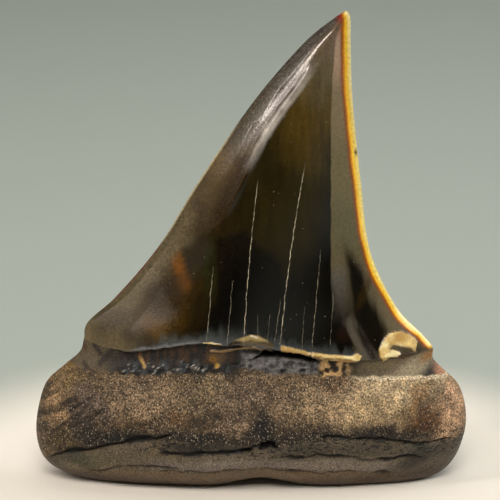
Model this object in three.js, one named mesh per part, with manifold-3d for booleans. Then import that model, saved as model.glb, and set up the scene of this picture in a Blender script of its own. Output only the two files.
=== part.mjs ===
// A fossil shark tooth, standing on the two lobes of its root.
// X runs along the root, +Y points to the tooth's flatter outer face, +Z points up to the tip.
// The tooth grew as one piece, so it is one closed solid: a thick root with rounded ends, a sunken
// neck, and a leaning triangular crown whose edges thin out to blades.
import * as THREE from "three";
import { mergeVertices } from "three/addons/utils/BufferGeometryUtils.js";
import Module from "manifold-3d";

// Driving dimensions, in millimetres. Depths are measured from the plane of the crown's two edges.
const BLADE_HALF_THICKNESS = 0.28;
const ENAMEL_STEP = 0.7; // how far the enamel's broken base stands proud of the neck
const NECK_WIDTH = 2.6; // height of the sunken band below the enamel
const NOTCH = { x: 1.2, rise: 1.5, halfWidth: 4.6 }; // the arch between the two root lobes
const WORN_FLAT = 0.4; // height worn off the lobes where the tooth stands
const COLUMNS = 50; // mesh columns across each face
const EDGE_CROWDING = 0.8; // 0 spaces the columns evenly, 1 crowds them towards the outline

// Cross sections from the underside to the tip. left and right are x and z of the outline there, inner
// and outer the depths of the bulging and the flatter face, power the section's shape (0.5 is an
// ellipse, 1 a parabola), crest the place of the thickest point between the outlines (-1 to 1), and
// rows the mesh rows up to the next section.
const SECTIONS = [
  { left: [-19.5, 0.1], right: [20.5, 0.1], inner: 0, outer: 0, power: 0.3, crest: 0, rows: 1 },
  { left: [-22.0, 0.2], right: [22.8, 0.2], inner: 3.5, outer: 3.1, power: 0.34, crest: 0, rows: 2 },
  { left: [-26.0, 1.3], right: [26.2, 1.1], inner: 5.7, outer: 4.6, power: 0.38, crest: 0, rows: 3 },
  { left: [-28.7, 3.4], right: [28.3, 3.5], inner: 7.5, outer: 5.5, power: 0.41, crest: 0, rows: 5 },
  { left: [-29.6, 6.8], right: [29.5, 7.5], inner: 8.7, outer: 5.9, power: 0.43, crest: 0, rows: 6 },
  { left: [-29.2, 10.6], right: [29.4, 10.8], inner: 8.9, outer: 5.7, power: 0.45, crest: 0, rows: 3 },
  { left: [-28.0, 14.2], right: [28.4, 13.8], inner: 8.2, outer: 5.2, power: 0.5, crest: 0, rows: 3 },
  { left: [-25.6, 16.6], right: [26.6, 15.7], inner: 7.0, outer: 4.7, power: 0.6, crest: 0.02, rows: 3 },
  { left: [-23.4, 18.6], right: [24.9, 17.6], inner: 6.3, outer: 4.4, power: 0.72, crest: 0.05, rows: 3 },
  { left: [-22.8, 20.5], right: [24.8, 19.2], inner: 6.2, outer: 4.2, power: 0.85, crest: 0.07, rows: 3 },
  { left: [-22.2, 22.9], right: [23.4, 21.0], inner: 6.0, outer: 4.0, power: 0.95, crest: 0.08, rows: 2 },
  { left: [-18.1, 26.8], right: [19.7, 25.1], inner: 5.7, outer: 3.7, power: 1.02, crest: 0.09, rows: 3 },
  { left: [-12.3, 34.0], right: [16.1, 33.0], inner: 5.0, outer: 3.1, power: 1.06, crest: 0.09, rows: 3 },
  { left: [-6.9, 43.1], right: [14.7, 43.0], inner: 4.1, outer: 2.4, power: 1.06, crest: 0.09, rows: 3 },
  { left: [0.3, 54.0], right: [13.5, 54.2], inner: 2.8, outer: 1.5, power: 1.02, crest: 0.08, rows: 3 },
  { left: [6.8, 61.9], right: [13.15, 62.1], inner: 1.5, outer: 0.8, power: 0.95, crest: 0.05, rows: 2 },
  { left: [10.9, 65.4], right: [13.1, 65.3], inner: 0.7, outer: 0.4, power: 0.8, crest: 0, rows: 1 },
  { left: [12.6, 66.4], right: [12.6, 66.4], inner: 0, outer: 0, power: 0.5, crest: 0, rows: 0 },
];
const ROOT_SECTION = 4; // the root's longest section
const BLADE_SECTION = 6; // where the root's ends begin to thin out to the blades
const ENAMEL_SECTION = 9; // the section where the enamel ends
const STRAIGHT_SECTION = 13; // from here up the rows no longer follow the enamel's end
const LAST_SECTION = SECTIONS.length - 1;
const TIP_BEND = 1.4; // how far the tip is bent towards the flatter face

// Where the enamel ends on each face: x and z, from the left end to the right one.
const ENAMEL_END_INNER = [
  [-22.8, 20.5], [-20, 20.0], [-17, 20.0], [-12, 20.9], [-6, 21.8], [0, 21.6], [5, 20.9],
  [10, 19.9], [15, 19.0], [19, 19.0], [24.8, 19.2],
];
const ENAMEL_END_OUTER = [
  [-22.8, 20.5], [-20, 19.4], [-14, 19.8], [-7, 21.0], [0, 21.6], [7, 20.8], [14, 19.2], [20, 18.5],
  [24.8, 19.2],
];

// Long splits in the root, where its layers part: points along the split as x and z, the depth of the
// split and how far the layer below it stands back.
const SPLITS = [
  { along: [[-28.4, 3.8], [-21.9, 6.5], [-16.1, 8.5], [-10.0, 10.0]], depth: 0.5, step: 0.35 },
  { along: [[-13.2, 6.7], [-5.4, 7.1], [0.2, 7.6]], depth: 0.5, step: 0.2 },
  { along: [[3.3, 6.4], [9.3, 6.4], [18.3, 5.1], [24.4, 4.8]], depth: 0.4, step: 0.2 },
  { along: [[8.6, 9.5], [15.0, 8.9], [22.9, 7.4], [28.2, 7.3]], depth: 0.4, step: 0.25 },
];
const SPLIT_HALF_WIDTH = 0.55;
const SPLIT_FADE = 2;
const LAYER_HEIGHT = 2.2; // the layer below a split comes back out over this height

// Openings of the blood vessels, low in the middle of the bulging face.
const PITS = [
  { x: -0.4, z: 7.6, radius: 0.9, depth: 0.8 },
  { x: 2.2, z: 8.2, radius: 1.2, depth: 1.3 },
];

// Broad lumps of the root. Each is a wave along X times a wave along Z, given by their rates in
// radians per millimetre, their shifts, and how far the shift differs between the two faces.
const LUMPS = [
  { height: 0.3, along: { rate: 0.42, shift: 0, turn: 0.7 }, up: { rate: 0.55, shift: 1.1, turn: 0 } },
  { height: 0.15, along: { rate: 1.15, shift: 0.5, turn: 0 }, up: { rate: 0.9, shift: 0, turn: -0.6 } },
];

// Places where the enamel has spalled off at its end.
const CHIPS = [
  { x: 9.0, z: 20.3, halfWidth: 6.2, halfHeight: 1.0, depth: 0.35 },
  { x: 21.0, z: 20.5, halfWidth: 2.6, halfHeight: 1.7, depth: 0.4 },
  { x: -0.8, z: 22.1, halfWidth: 4.2, halfHeight: 1.0, depth: 0.3 },
];

// Goes smoothly from 0 to 1 as the value goes from one bound to the other, upwards or downwards.
function ramp(from, to, value) {
  const t = THREE.MathUtils.clamp((value - from) / (to - from), 0, 1);
  return t * t * (3 - 2 * t);
}

// The number at place t along a list, on a smooth curve through its entries.
function smoothAlong(list, t) {
  const i = Math.min(Math.floor(t), list.length - 2);
  const f = t - i;
  const start = list[i];
  const end = list[i + 1];
  const startSlope = (end - (list[i - 1] ?? start)) / 2;
  const endSlope = ((list[i + 2] ?? end) - start) / 2;
  const cubic = 2 * (start - end) + startSlope + endSlope;
  const square = 3 * (end - start) - 2 * startSlope - endSlope;
  return start + f * (startSlope + f * (square + f * cubic));
}

// The height at x of a line through points that run from left to right.
function heightAt(points, x) {
  let i = 1;
  while (i < points.length - 1 && x > points[i][0]) i += 1;
  return THREE.MathUtils.mapLinear(x, points[i - 1][0], points[i][0], points[i - 1][1], points[i][1]);
}

// The measures of the section at place q, between the listed ones.
function sectionAt(q) {
  const along = (pick) => smoothAlong(SECTIONS.map(pick), q);
  return {
    leftX: along((section) => section.left[0]),
    leftZ: along((section) => section.left[1]),
    rightX: along((section) => section.right[0]),
    rightZ: along((section) => section.right[1]),
    inner: along((section) => section.inner),
    outer: along((section) => section.outer),
    power: along((section) => section.power),
    crest: along((section) => section.crest),
  };
}

// The enamel's end on a face, side -1 being the bulging one and 1 the flatter one.
function enamelEnd(side) {
  return side < 0 ? ENAMEL_END_INNER : ENAMEL_END_OUTER;
}

// A point of the smooth tooth: s runs from -1 at the left outline to 1 at the right one, and q is the
// row's place along the sections.
function smoothPoint(side, s, q) {
  const section = sectionAt(q);
  const across = (s + 1) / 2;
  const x = THREE.MathUtils.lerp(section.leftX, section.rightX, across);
  let z = THREE.MathUtils.lerp(section.leftZ, section.rightZ, across);

  // Rows near the enamel's end follow its curve, and those near the underside follow the notch.
  const { left, right } = SECTIONS[ENAMEL_SECTION];
  const endX = THREE.MathUtils.lerp(left[0], right[0], across);
  const endRise = heightAt(enamelEnd(side), endX) - THREE.MathUtils.lerp(left[1], right[1], across);
  z += endRise * ramp(ROOT_SECTION, ENAMEL_SECTION, q) * ramp(STRAIGHT_SECTION, ENAMEL_SECTION, q);
  z += NOTCH.rise * Math.exp(-(((x - NOTCH.x) / NOTCH.halfWidth) ** 2)) * ramp(ROOT_SECTION + 1, 0, q);

  const place = (s - section.crest) / (1 - section.crest * s);
  const round = Math.max(0, 1 - place * place);
  const depth = side < 0 ? section.inner : section.outer;
  const thinning = ramp(BLADE_SECTION, ENAMEL_SECTION, q) * ramp(LAST_SECTION, LAST_SECTION - 2, q);
  const blade = BLADE_HALF_THICKNESS * thinning;
  const bend = TIP_BEND * ramp(ENAMEL_SECTION, SECTIONS.length, q);
  const y = bend + side * (depth * round ** section.power + blade * Math.sqrt(round));
  return new THREE.Vector3(x, y, z);
}

// How far the surface stands out from the smooth tooth at a point, along its normal.
function relief(side, s, { x, z }) {
  const below = heightAt(enamelEnd(side), x) - z;
  const neck = ramp(-0.1, 0.3, below) * ramp(NECK_WIDTH, 1, below);
  const blunt = 1 - s ** 8; // the very edges of the tooth keep their outline
  let out = -ENAMEL_STEP * neck * blunt;

  const onRoot = ramp(1, 4, below) * ramp(0, 3, z) * blunt;
  for (const { height, along, up } of LUMPS) {
    const waveX = Math.sin(along.rate * x + along.shift + along.turn * side);
    const waveZ = Math.sin(up.rate * z + up.shift + up.turn * side);
    out += onRoot * height * waveX * waveZ;
  }
  if (side > 0) return out;

  for (const split of SPLITS) {
    const first = split.along[0][0];
    const last = split.along[split.along.length - 1][0];
    const fade = ramp(first, first + SPLIT_FADE, x) * ramp(last, last - SPLIT_FADE, x);
    const above = z - heightAt(split.along, x);
    out -= fade * split.depth * Math.exp(-((above / SPLIT_HALF_WIDTH) ** 2));
    out -= fade * split.step * ramp(-LAYER_HEIGHT, -0.3, above) * ramp(0.3, -0.3, above);
  }
  for (const pit of PITS) {
    const away = Math.hypot(x - pit.x, z - pit.z) / pit.radius;
    out -= pit.depth * Math.exp(-away * away);
  }
  for (const chip of CHIPS) {
    const away = Math.hypot((x - chip.x) / chip.halfWidth, (z - chip.z) / chip.halfHeight);
    if (below < 0) out -= chip.depth * ramp(1.1, 0.7, away);
  }
  return out;
}

// The closed mesh: one sheet of vertices for each face, joined along the middle of the underside, the
// two outlines and the tip.
function toothGeometry() {
  const rowPlaces = SECTIONS.flatMap(({ rows }, n) => Array.from({ length: rows }, (_, i) => n + i / rows));
  const vertices = [];
  const ids = { [-1]: [], [1]: [] };
  for (const side of [-1, 1]) {
    rowPlaces.forEach((q, row) => {
      ids[side].push([]);
      for (let column = 0; column <= COLUMNS; column += 1) {
        const shared = side > 0 && (row === 0 || column === 0 || column === COLUMNS);
        if (shared) {
          ids[side][row].push(ids[-1][row][column]);
          continue;
        }
        const even = (2 * column) / COLUMNS - 1;
        const s = THREE.MathUtils.lerp(even, Math.sin((Math.PI / 2) * even), EDGE_CROWDING);
        ids[side][row].push(vertices.length);
        vertices.push({ side, s, point: smoothPoint(side, s, q) });
      }
    });
  }
  const tip = vertices.length;
  vertices.push({ side: 1, s: 0, point: smoothPoint(1, 0, SECTIONS.length - 1) });

  const corners = [];
  for (const side of [-1, 1]) {
    const add = (a, b, c) => corners.push(...(side < 0 ? [a, b, c] : [a, c, b]));
    for (let column = 0; column < COLUMNS; column += 1) {
      for (let row = 0; row < rowPlaces.length - 1; row += 1) {
        const [a, b] = ids[side][row].slice(column);
        const [d, c] = ids[side][row + 1].slice(column);
        add(a, b, c);
        add(a, c, d);
      }
      const [left, right] = ids[side][rowPlaces.length - 1].slice(column);
      add(left, right, tip);
    }
  }

  const geometry = new THREE.BufferGeometry().setFromPoints(vertices.map(({ point }) => point));
  geometry.setIndex(corners);
  geometry.computeVertexNormals();
  const normals = geometry.getAttribute("normal");
  const normal = new THREE.Vector3();
  vertices.forEach(({ side, s, point }, i) => {
    normal.fromBufferAttribute(normals, i);
    point.addScaledVector(normal, relief(side, s, point));
  });
  geometry.setFromPoints(vertices.map(({ point }) => point));
  return geometry;
}

const wasm = await Module();
wasm.setup();

// A closed geometry as a manifold-3d solid.
function solidOf(geometry) {
  for (const name of ["normal", "uv"]) geometry.deleteAttribute(name);
  const merged = mergeVertices(geometry);
  const mesh = new wasm.Mesh({
    numProp: 3,
    vertProperties: new Float32Array(merged.getAttribute("position").array),
    triVerts: new Uint32Array(merged.index.array),
  });
  return new wasm.Manifold(mesh);
}

// The lobes are worn flat where the tooth stands: everything below that plane is cut away.
function wornTooth() {
  const size = 100;
  const block = new THREE.BoxGeometry(size, size, size).translate(0, 0, WORN_FLAT - size / 2);
  const { vertProperties, triVerts } = solidOf(toothGeometry()).subtract(solidOf(block)).getMesh();
  const geometry = new THREE.BufferGeometry();
  geometry.setAttribute("position", new THREE.BufferAttribute(vertProperties, 3));
  geometry.setIndex(new THREE.BufferAttribute(triVerts, 1));
  return geometry;
}

// The origin is in the middle of the tooth's length and depth, on the plane it stands on.
const geometry = wornTooth();
geometry.computeBoundingBox();
const { min, max } = geometry.boundingBox;
geometry.translate(-(min.x + max.x) / 2, -(min.y + max.y) / 2, -min.z);
geometry.computeVertexNormals();

const darkEnamel = new THREE.MeshStandardMaterial({ color: 0x3a2c1c, roughness: 0.45, metalness: 0 });
const tooth = new THREE.Mesh(geometry, darkEnamel);
tooth.name = "tooth";

const model = new THREE.Group();
model.add(tooth);
export default model;
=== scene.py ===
"""A fossil shark tooth: glossy dark enamel over a sunken neck and a porous root.

The tooth is one surface of two sheets, one for each face, that share the outline, the tip and a seam
under the root. Each sheet is a grid: s runs across it from the left outline (-1) to the right one
(1), and q runs up it along the cross sections. Distances inside the script are in millimetres in the
sections' own frame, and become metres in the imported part's box at the end.
"""

import logging
import math
from dataclasses import dataclass, field
from enum import Enum

import bpy
import numpy as np
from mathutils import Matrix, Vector


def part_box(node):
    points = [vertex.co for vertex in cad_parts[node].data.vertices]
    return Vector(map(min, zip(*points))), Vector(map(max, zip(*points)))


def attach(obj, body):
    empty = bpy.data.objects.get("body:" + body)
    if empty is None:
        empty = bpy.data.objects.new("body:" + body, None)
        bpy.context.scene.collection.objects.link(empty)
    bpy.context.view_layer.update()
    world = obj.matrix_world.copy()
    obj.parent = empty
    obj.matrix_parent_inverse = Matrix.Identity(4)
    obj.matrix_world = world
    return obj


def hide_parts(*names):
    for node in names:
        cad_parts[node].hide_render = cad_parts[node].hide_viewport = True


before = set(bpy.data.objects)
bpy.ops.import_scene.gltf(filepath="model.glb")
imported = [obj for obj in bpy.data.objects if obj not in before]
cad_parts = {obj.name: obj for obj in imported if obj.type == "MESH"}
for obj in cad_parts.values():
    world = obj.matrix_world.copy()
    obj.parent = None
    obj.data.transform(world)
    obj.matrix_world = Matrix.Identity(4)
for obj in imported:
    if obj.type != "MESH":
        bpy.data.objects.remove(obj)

log = logging.getLogger("tooth")

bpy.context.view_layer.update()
MM = 0.001
IMAGE_PIXELS = 500
TINY = 1e-12

Line = tuple[tuple[float, float], ...]
Array = np.ndarray


class Face(Enum):
    """The tooth's two faces; the value is the sign of Y on the face."""

    INNER = -1
    OUTER = 1


def ramp(start: float, end: float, value: Array) -> Array:
    """Rises from 0 to 1 between two bounds as 3t^2 - 2t^3, level at both ends.

    Args:
        start: where the rise begins.
        end: where it ends; it may be lower than start.
        value: the numbers to place between the bounds.

    Returns:
        An array like value, from 0 to 1.
    """
    t = np.clip((value - start) / (end - start), 0.0, 1.0)
    return t * t * (3.0 - 2.0 * t)


def window(a: float, b: float, c: float, d: float, value: Array) -> Array:
    """Rises from 0 to 1 between a and b, and falls back to 0 between c and d.

    Args:
        a: where the rise begins.
        b: where it ends.
        c: where the fall begins.
        d: where it ends.
        value: the numbers to place between the bounds.

    Returns:
        The product of the rising and the falling ramp.
    """
    return ramp(a, b, value) * ramp(d, c, value)


def height_at(line: Line, x: Array) -> Array:
    """Height at x of the line through points that run from left to right.

    Args:
        line: points as x and z.
        x: where to read it.

    Returns:
        z at each x, level beyond the ends.
    """
    xs, zs = np.array(line).T
    return np.interp(x, xs, zs)


def across_at(line: Line, z: Array) -> Array:
    """x at each height z of the line through points that run upwards.

    Args:
        line: points as x and z, lowest first.
        z: the heights to read it at.

    Returns:
        x at each z, constant beyond the ends.
    """
    xs, zs = np.array(line).T
    return np.interp(z, zs, xs)


def smooth_along(values: Array, place: Array) -> Array:
    """Reads a list at fractional places, on the cubic that keeps each entry's central slope.

    Args:
        values: the listed numbers.
        place: places along the list, 0 being the first entry.

    Returns:
        The number at each place.
    """
    i = np.minimum(place.astype(int), len(values) - 2)
    f = place - i
    padded = np.concatenate([values[:1], values, values[-1:]])
    before, start, end, after = (padded[i + n] for n in range(4))
    slope_start = (end - before) / 2
    slope_end = (after - start) / 2
    square = 3 * (end - start) - 2 * slope_start - slope_end
    cube = 2 * (start - end) + slope_start + slope_end
    return start + f * (slope_start + f * (square + f * cube))


def softest(a: Array, b: Array, width: Array) -> Array:
    """The lower of two surfaces, with their meeting line rounded over a width.

    The polynomial soft minimum: min(a, b) less width * h^2 / 4, where h falls from 1 to 0 as the
    surfaces part by the width.

    Args:
        a: first surface.
        b: second surface.
        width: how far apart they may be and still be rounded together.

    Returns:
        The rounded minimum.
    """
    near = np.maximum(width - np.abs(a - b), 0.0) / np.maximum(width, TINY)
    return np.minimum(a, b) - width * near * near / 4


def line_distance(line: Line, x: Array, z: Array) -> Array:
    """Distance to a line through points: the least of the distances to its stretches.

    Args:
        line: the points as x and z.
        x: x of the places to measure from.
        z: z of the places to measure from.

    Returns:
        The distance in millimetres.
    """
    least = np.full(x.shape, np.inf)
    for (x0, z0), (x1, z1) in zip(line, line[1:]):
        dx, dz = x1 - x0, z1 - z0
        along = np.clip(((x - x0) * dx + (z - z0) * dz) / (dx * dx + dz * dz), 0.0, 1.0)
        least = np.minimum(least, np.hypot(x - x0 - along * dx, z - z0 - along * dz))
    return least


def polygon_depth(corners: Line, x: Array, z: Array) -> Array:
    """Signed distance to a closed outline, positive inside it.

    The sign comes from counting how many of the outline's edges a level ray crosses.

    Args:
        corners: the outline's corners as x and z.
        x: x of the points.
        z: z of the points.

    Returns:
        The signed distance in millimetres.
    """
    closed = corners + corners[:1]
    inside = np.zeros(x.shape, bool)
    for (x0, z0), (x1, z1) in zip(closed, closed[1:]):
        if z1 != z0:
            crosses = (z0 > z) != (z1 > z)
            inside ^= crosses & (x < x0 + (z - z0) * (x1 - x0) / (z1 - z0))
    away = line_distance(closed, x, z)
    return np.where(inside, away, -away)


@dataclass(frozen=True)
class LatticeNoise:
    """Smooth seeded noise: random values on a cubic lattice, eased between the lattice points.

    cell is the lattice's step in millimetres, stretch draws it out along each axis, and side is how
    many values there are along an axis before they repeat.
    """

    cell: float
    seed: int
    octaves: int = 1
    stretch: tuple[float, float, float] = (1.0, 1.0, 1.0)
    side: int = 64
    octave_shift: float = 17.3
    gain: float = 1.6

    def at(self, x: Array, y: Array, z: Array) -> Array:
        """Octaves of half the size and half the strength, added up.

        Args:
            x: x of the points.
            y: y of the points.
            z: z of the points.

        Returns:
            Noise from about -1 to 1.
        """
        table = np.random.default_rng(self.seed).random((self.side,) * 3) * 2 - 1
        total = np.zeros(x.shape)
        weight = 0.0
        for octave in range(self.octaves):
            scale = 2.0**octave / self.cell
            strength = 0.5**octave
            shift = self.octave_shift * octave
            p = [c * scale / w + shift for c, w in zip((x, y, z), self.stretch)]
            total += strength * self._lattice(table, p)
            weight += strength
        return self.gain * total / weight

    def _lattice(self, table: Array, p: list[Array]) -> Array:
        """The table's values at the eight corners round each point, eased together.

        Args:
            table: the random values.
            p: the points' three coordinates, counted in lattice steps.

        Returns:
            The eased value at each point.
        """
        base = [np.floor(c).astype(int) for c in p]
        ease = [ramp(0.0, 1.0, c - b) for c, b in zip(p, base)]
        total = np.zeros(p[0].shape)
        for corner in np.ndindex(2, 2, 2):
            index = tuple((b + n) % self.side for b, n in zip(base, corner))
            share = np.prod([e if n else 1 - e for e, n in zip(ease, corner)], axis=0)
            total += share * table[index]
        return total


def slanting_cords(x: Array, z: Array) -> Array:
    """Uneven cords that lean to the right: noise drawn out along their run, 1 on a crest, -1 between.

    Args:
        x: x of the points.
        z: z of the points.

    Returns:
        The height of the cords, faded out away from the root's left end.
    """
    run = 0.80 * x + 0.60 * z
    across = 0.80 * z - 0.60 * x
    cords = LatticeNoise(0.55, 12, 2, stretch=(5.5, 1.0, 1.0)).at(run, np.zeros(x.shape), across)
    left_end = ramp(-16.0, -21.0, x) * window(6.0, 9.0, 13.5, 16.5, z)
    return 1.3 * cords * left_end


def creased(x: Array, y: Array, z: Array) -> Array:
    """Sharp-crested folds of the neck's broken rock: 1 less twice the size of a noise."""
    return 1 - 2 * np.abs(LatticeNoise(0.9, 4, 2).at(x, y, z))


@dataclass
class Sheet:
    """One face of the tooth as grids over rows and columns, in millimetres.

    s and q are the places across the face and along the sections, below is the distance under the
    enamel's end, and from_left and from_right are those from the outline.
    """

    face: Face
    s: Array
    q: Array
    x: Array
    y: Array
    z: Array
    below: Array
    from_left: Array
    from_right: Array

    @property
    def blunt(self) -> Array:
        """1 over the face, falling to 0 at the outline and at the seam, which keep their lines."""
        return (1 - self.s**12) * ramp(0.0, 1.5, self.q)

    def normals(self) -> tuple[Array, Array, Array]:
        """Outward unit normals: the cross product of the steps along the columns and the rows.

        Returns:
            The normals' x, y and z.
        """
        rows = [np.gradient(c, axis=0) for c in (self.x, self.y, self.z)]
        columns = [np.gradient(c, axis=1) for c in (self.x, self.y, self.z)]
        across = np.cross(np.stack(columns, -1), np.stack(rows, -1)) * -self.face.value
        length = np.linalg.norm(across, axis=-1, keepdims=True)
        return tuple(np.moveaxis(across / np.maximum(length, TINY), -1, 0))

    def push(self, out: Array) -> None:
        """Moves the sheet out along its normals.

        Args:
            out: how far each point goes.
        """
        nx, ny, nz = self.normals()
        self.x = self.x + nx * out
        self.y = self.y + ny * out
        self.z = self.z + nz * out


@dataclass(frozen=True)
class Section:
    """A cross section of the smooth tooth.

    left and right are x and z of the outline, inner and outer the depths of the two faces from the
    blades' plane, power the shape of the root's section, crest the place of its thickest point,
    bevels the widths of the flats along the crown's two edges, and spacing the distance between the
    mesh rows up to the next section.
    """

    left: tuple[float, float]
    right: tuple[float, float]
    inner: float
    outer: float
    power: float
    crest: float
    bevels: tuple[float, float]
    spacing: float


SECTIONS = (
    Section((-19.5, 0.1), (20.5, 0.1), 0.0, 0.0, 0.30, 0.00, (9.0, 9.0), 0.50),
    Section((-22.0, 0.2), (22.8, 0.2), 3.5, 3.1, 0.34, 0.00, (9.0, 9.0), 0.40),
    Section((-26.0, 1.3), (26.2, 1.1), 5.7, 4.6, 0.38, 0.00, (9.0, 9.0), 0.28),
    Section((-28.7, 3.4), (28.3, 3.5), 7.5, 5.5, 0.41, 0.00, (9.0, 9.0), 0.21),
    Section((-29.6, 6.8), (29.5, 7.5), 8.7, 5.9, 0.43, 0.00, (9.0, 9.0), 0.21),
    Section((-29.2, 10.6), (29.4, 10.8), 8.9, 5.7, 0.45, 0.00, (9.0, 9.0), 0.25),
    Section((-28.0, 14.2), (28.4, 13.8), 8.2, 5.2, 0.50, 0.00, (9.0, 9.0), 0.22),
    Section((-25.6, 16.6), (26.6, 15.7), 7.0, 4.7, 0.60, 0.02, (9.0, 8.0), 0.14),
    Section((-23.4, 18.6), (24.9, 17.6), 6.3, 4.4, 0.72, 0.05, (9.0, 7.0), 0.12),
    Section((-22.8, 20.5), (24.8, 19.2), 6.2, 4.2, 0.85, 0.07, (9.0, 6.0), 0.13),
    Section((-22.2, 22.9), (23.4, 21.0), 6.0, 4.0, 0.95, 0.08, (8.5, 5.5), 0.24),
    Section((-18.1, 26.8), (19.7, 25.1), 5.7, 3.7, 1.02, 0.09, (8.0, 4.8), 0.70),
    Section((-12.3, 34.0), (16.1, 33.0), 5.0, 3.1, 1.06, 0.09, (6.0, 4.2), 0.80),
    Section((-6.9, 43.1), (14.7, 43.0), 4.1, 2.4, 1.06, 0.09, (3.4, 3.9), 0.70),
    Section((0.3, 54.0), (13.5, 54.2), 2.8, 1.5, 1.02, 0.08, (2.2, 3.0), 0.60),
    Section((6.8, 61.9), (13.15, 62.1), 1.5, 0.8, 0.95, 0.05, (1.5, 2.0), 0.40),
    Section((10.9, 65.4), (13.1, 65.3), 0.7, 0.4, 0.80, 0.00, (0.8, 1.0), 0.20),
    Section((12.6, 66.4), (12.6, 66.4), 0.0, 0.0, 0.50, 0.00, (0.3, 0.3), 0.20),
)
ENAMEL_SECTION = 9

ENAMEL_END: dict[Face, Line] = {
    Face.INNER: (
        (-22.8, 20.5), (-20.6, 20.1), (-17.1, 19.7), (-13.7, 20.5), (-9.6, 21.4), (-6.2, 22.0),
        (-2.8, 21.8), (-0.1, 21.8), (3.2, 21.3), (6.6, 20.7), (12.0, 19.8), (15.4, 19.2),
        (17.5, 19.1), (19.5, 19.2), (24.8, 19.2),
    ),
    Face.OUTER: (
        (-22.8, 20.5), (-20.0, 19.4), (-14.0, 19.8), (-7.0, 21.0), (0.0, 21.6), (7.0, 20.8),
        (14.0, 19.2), (20.0, 18.5), (24.8, 19.2),
    ),
}


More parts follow.
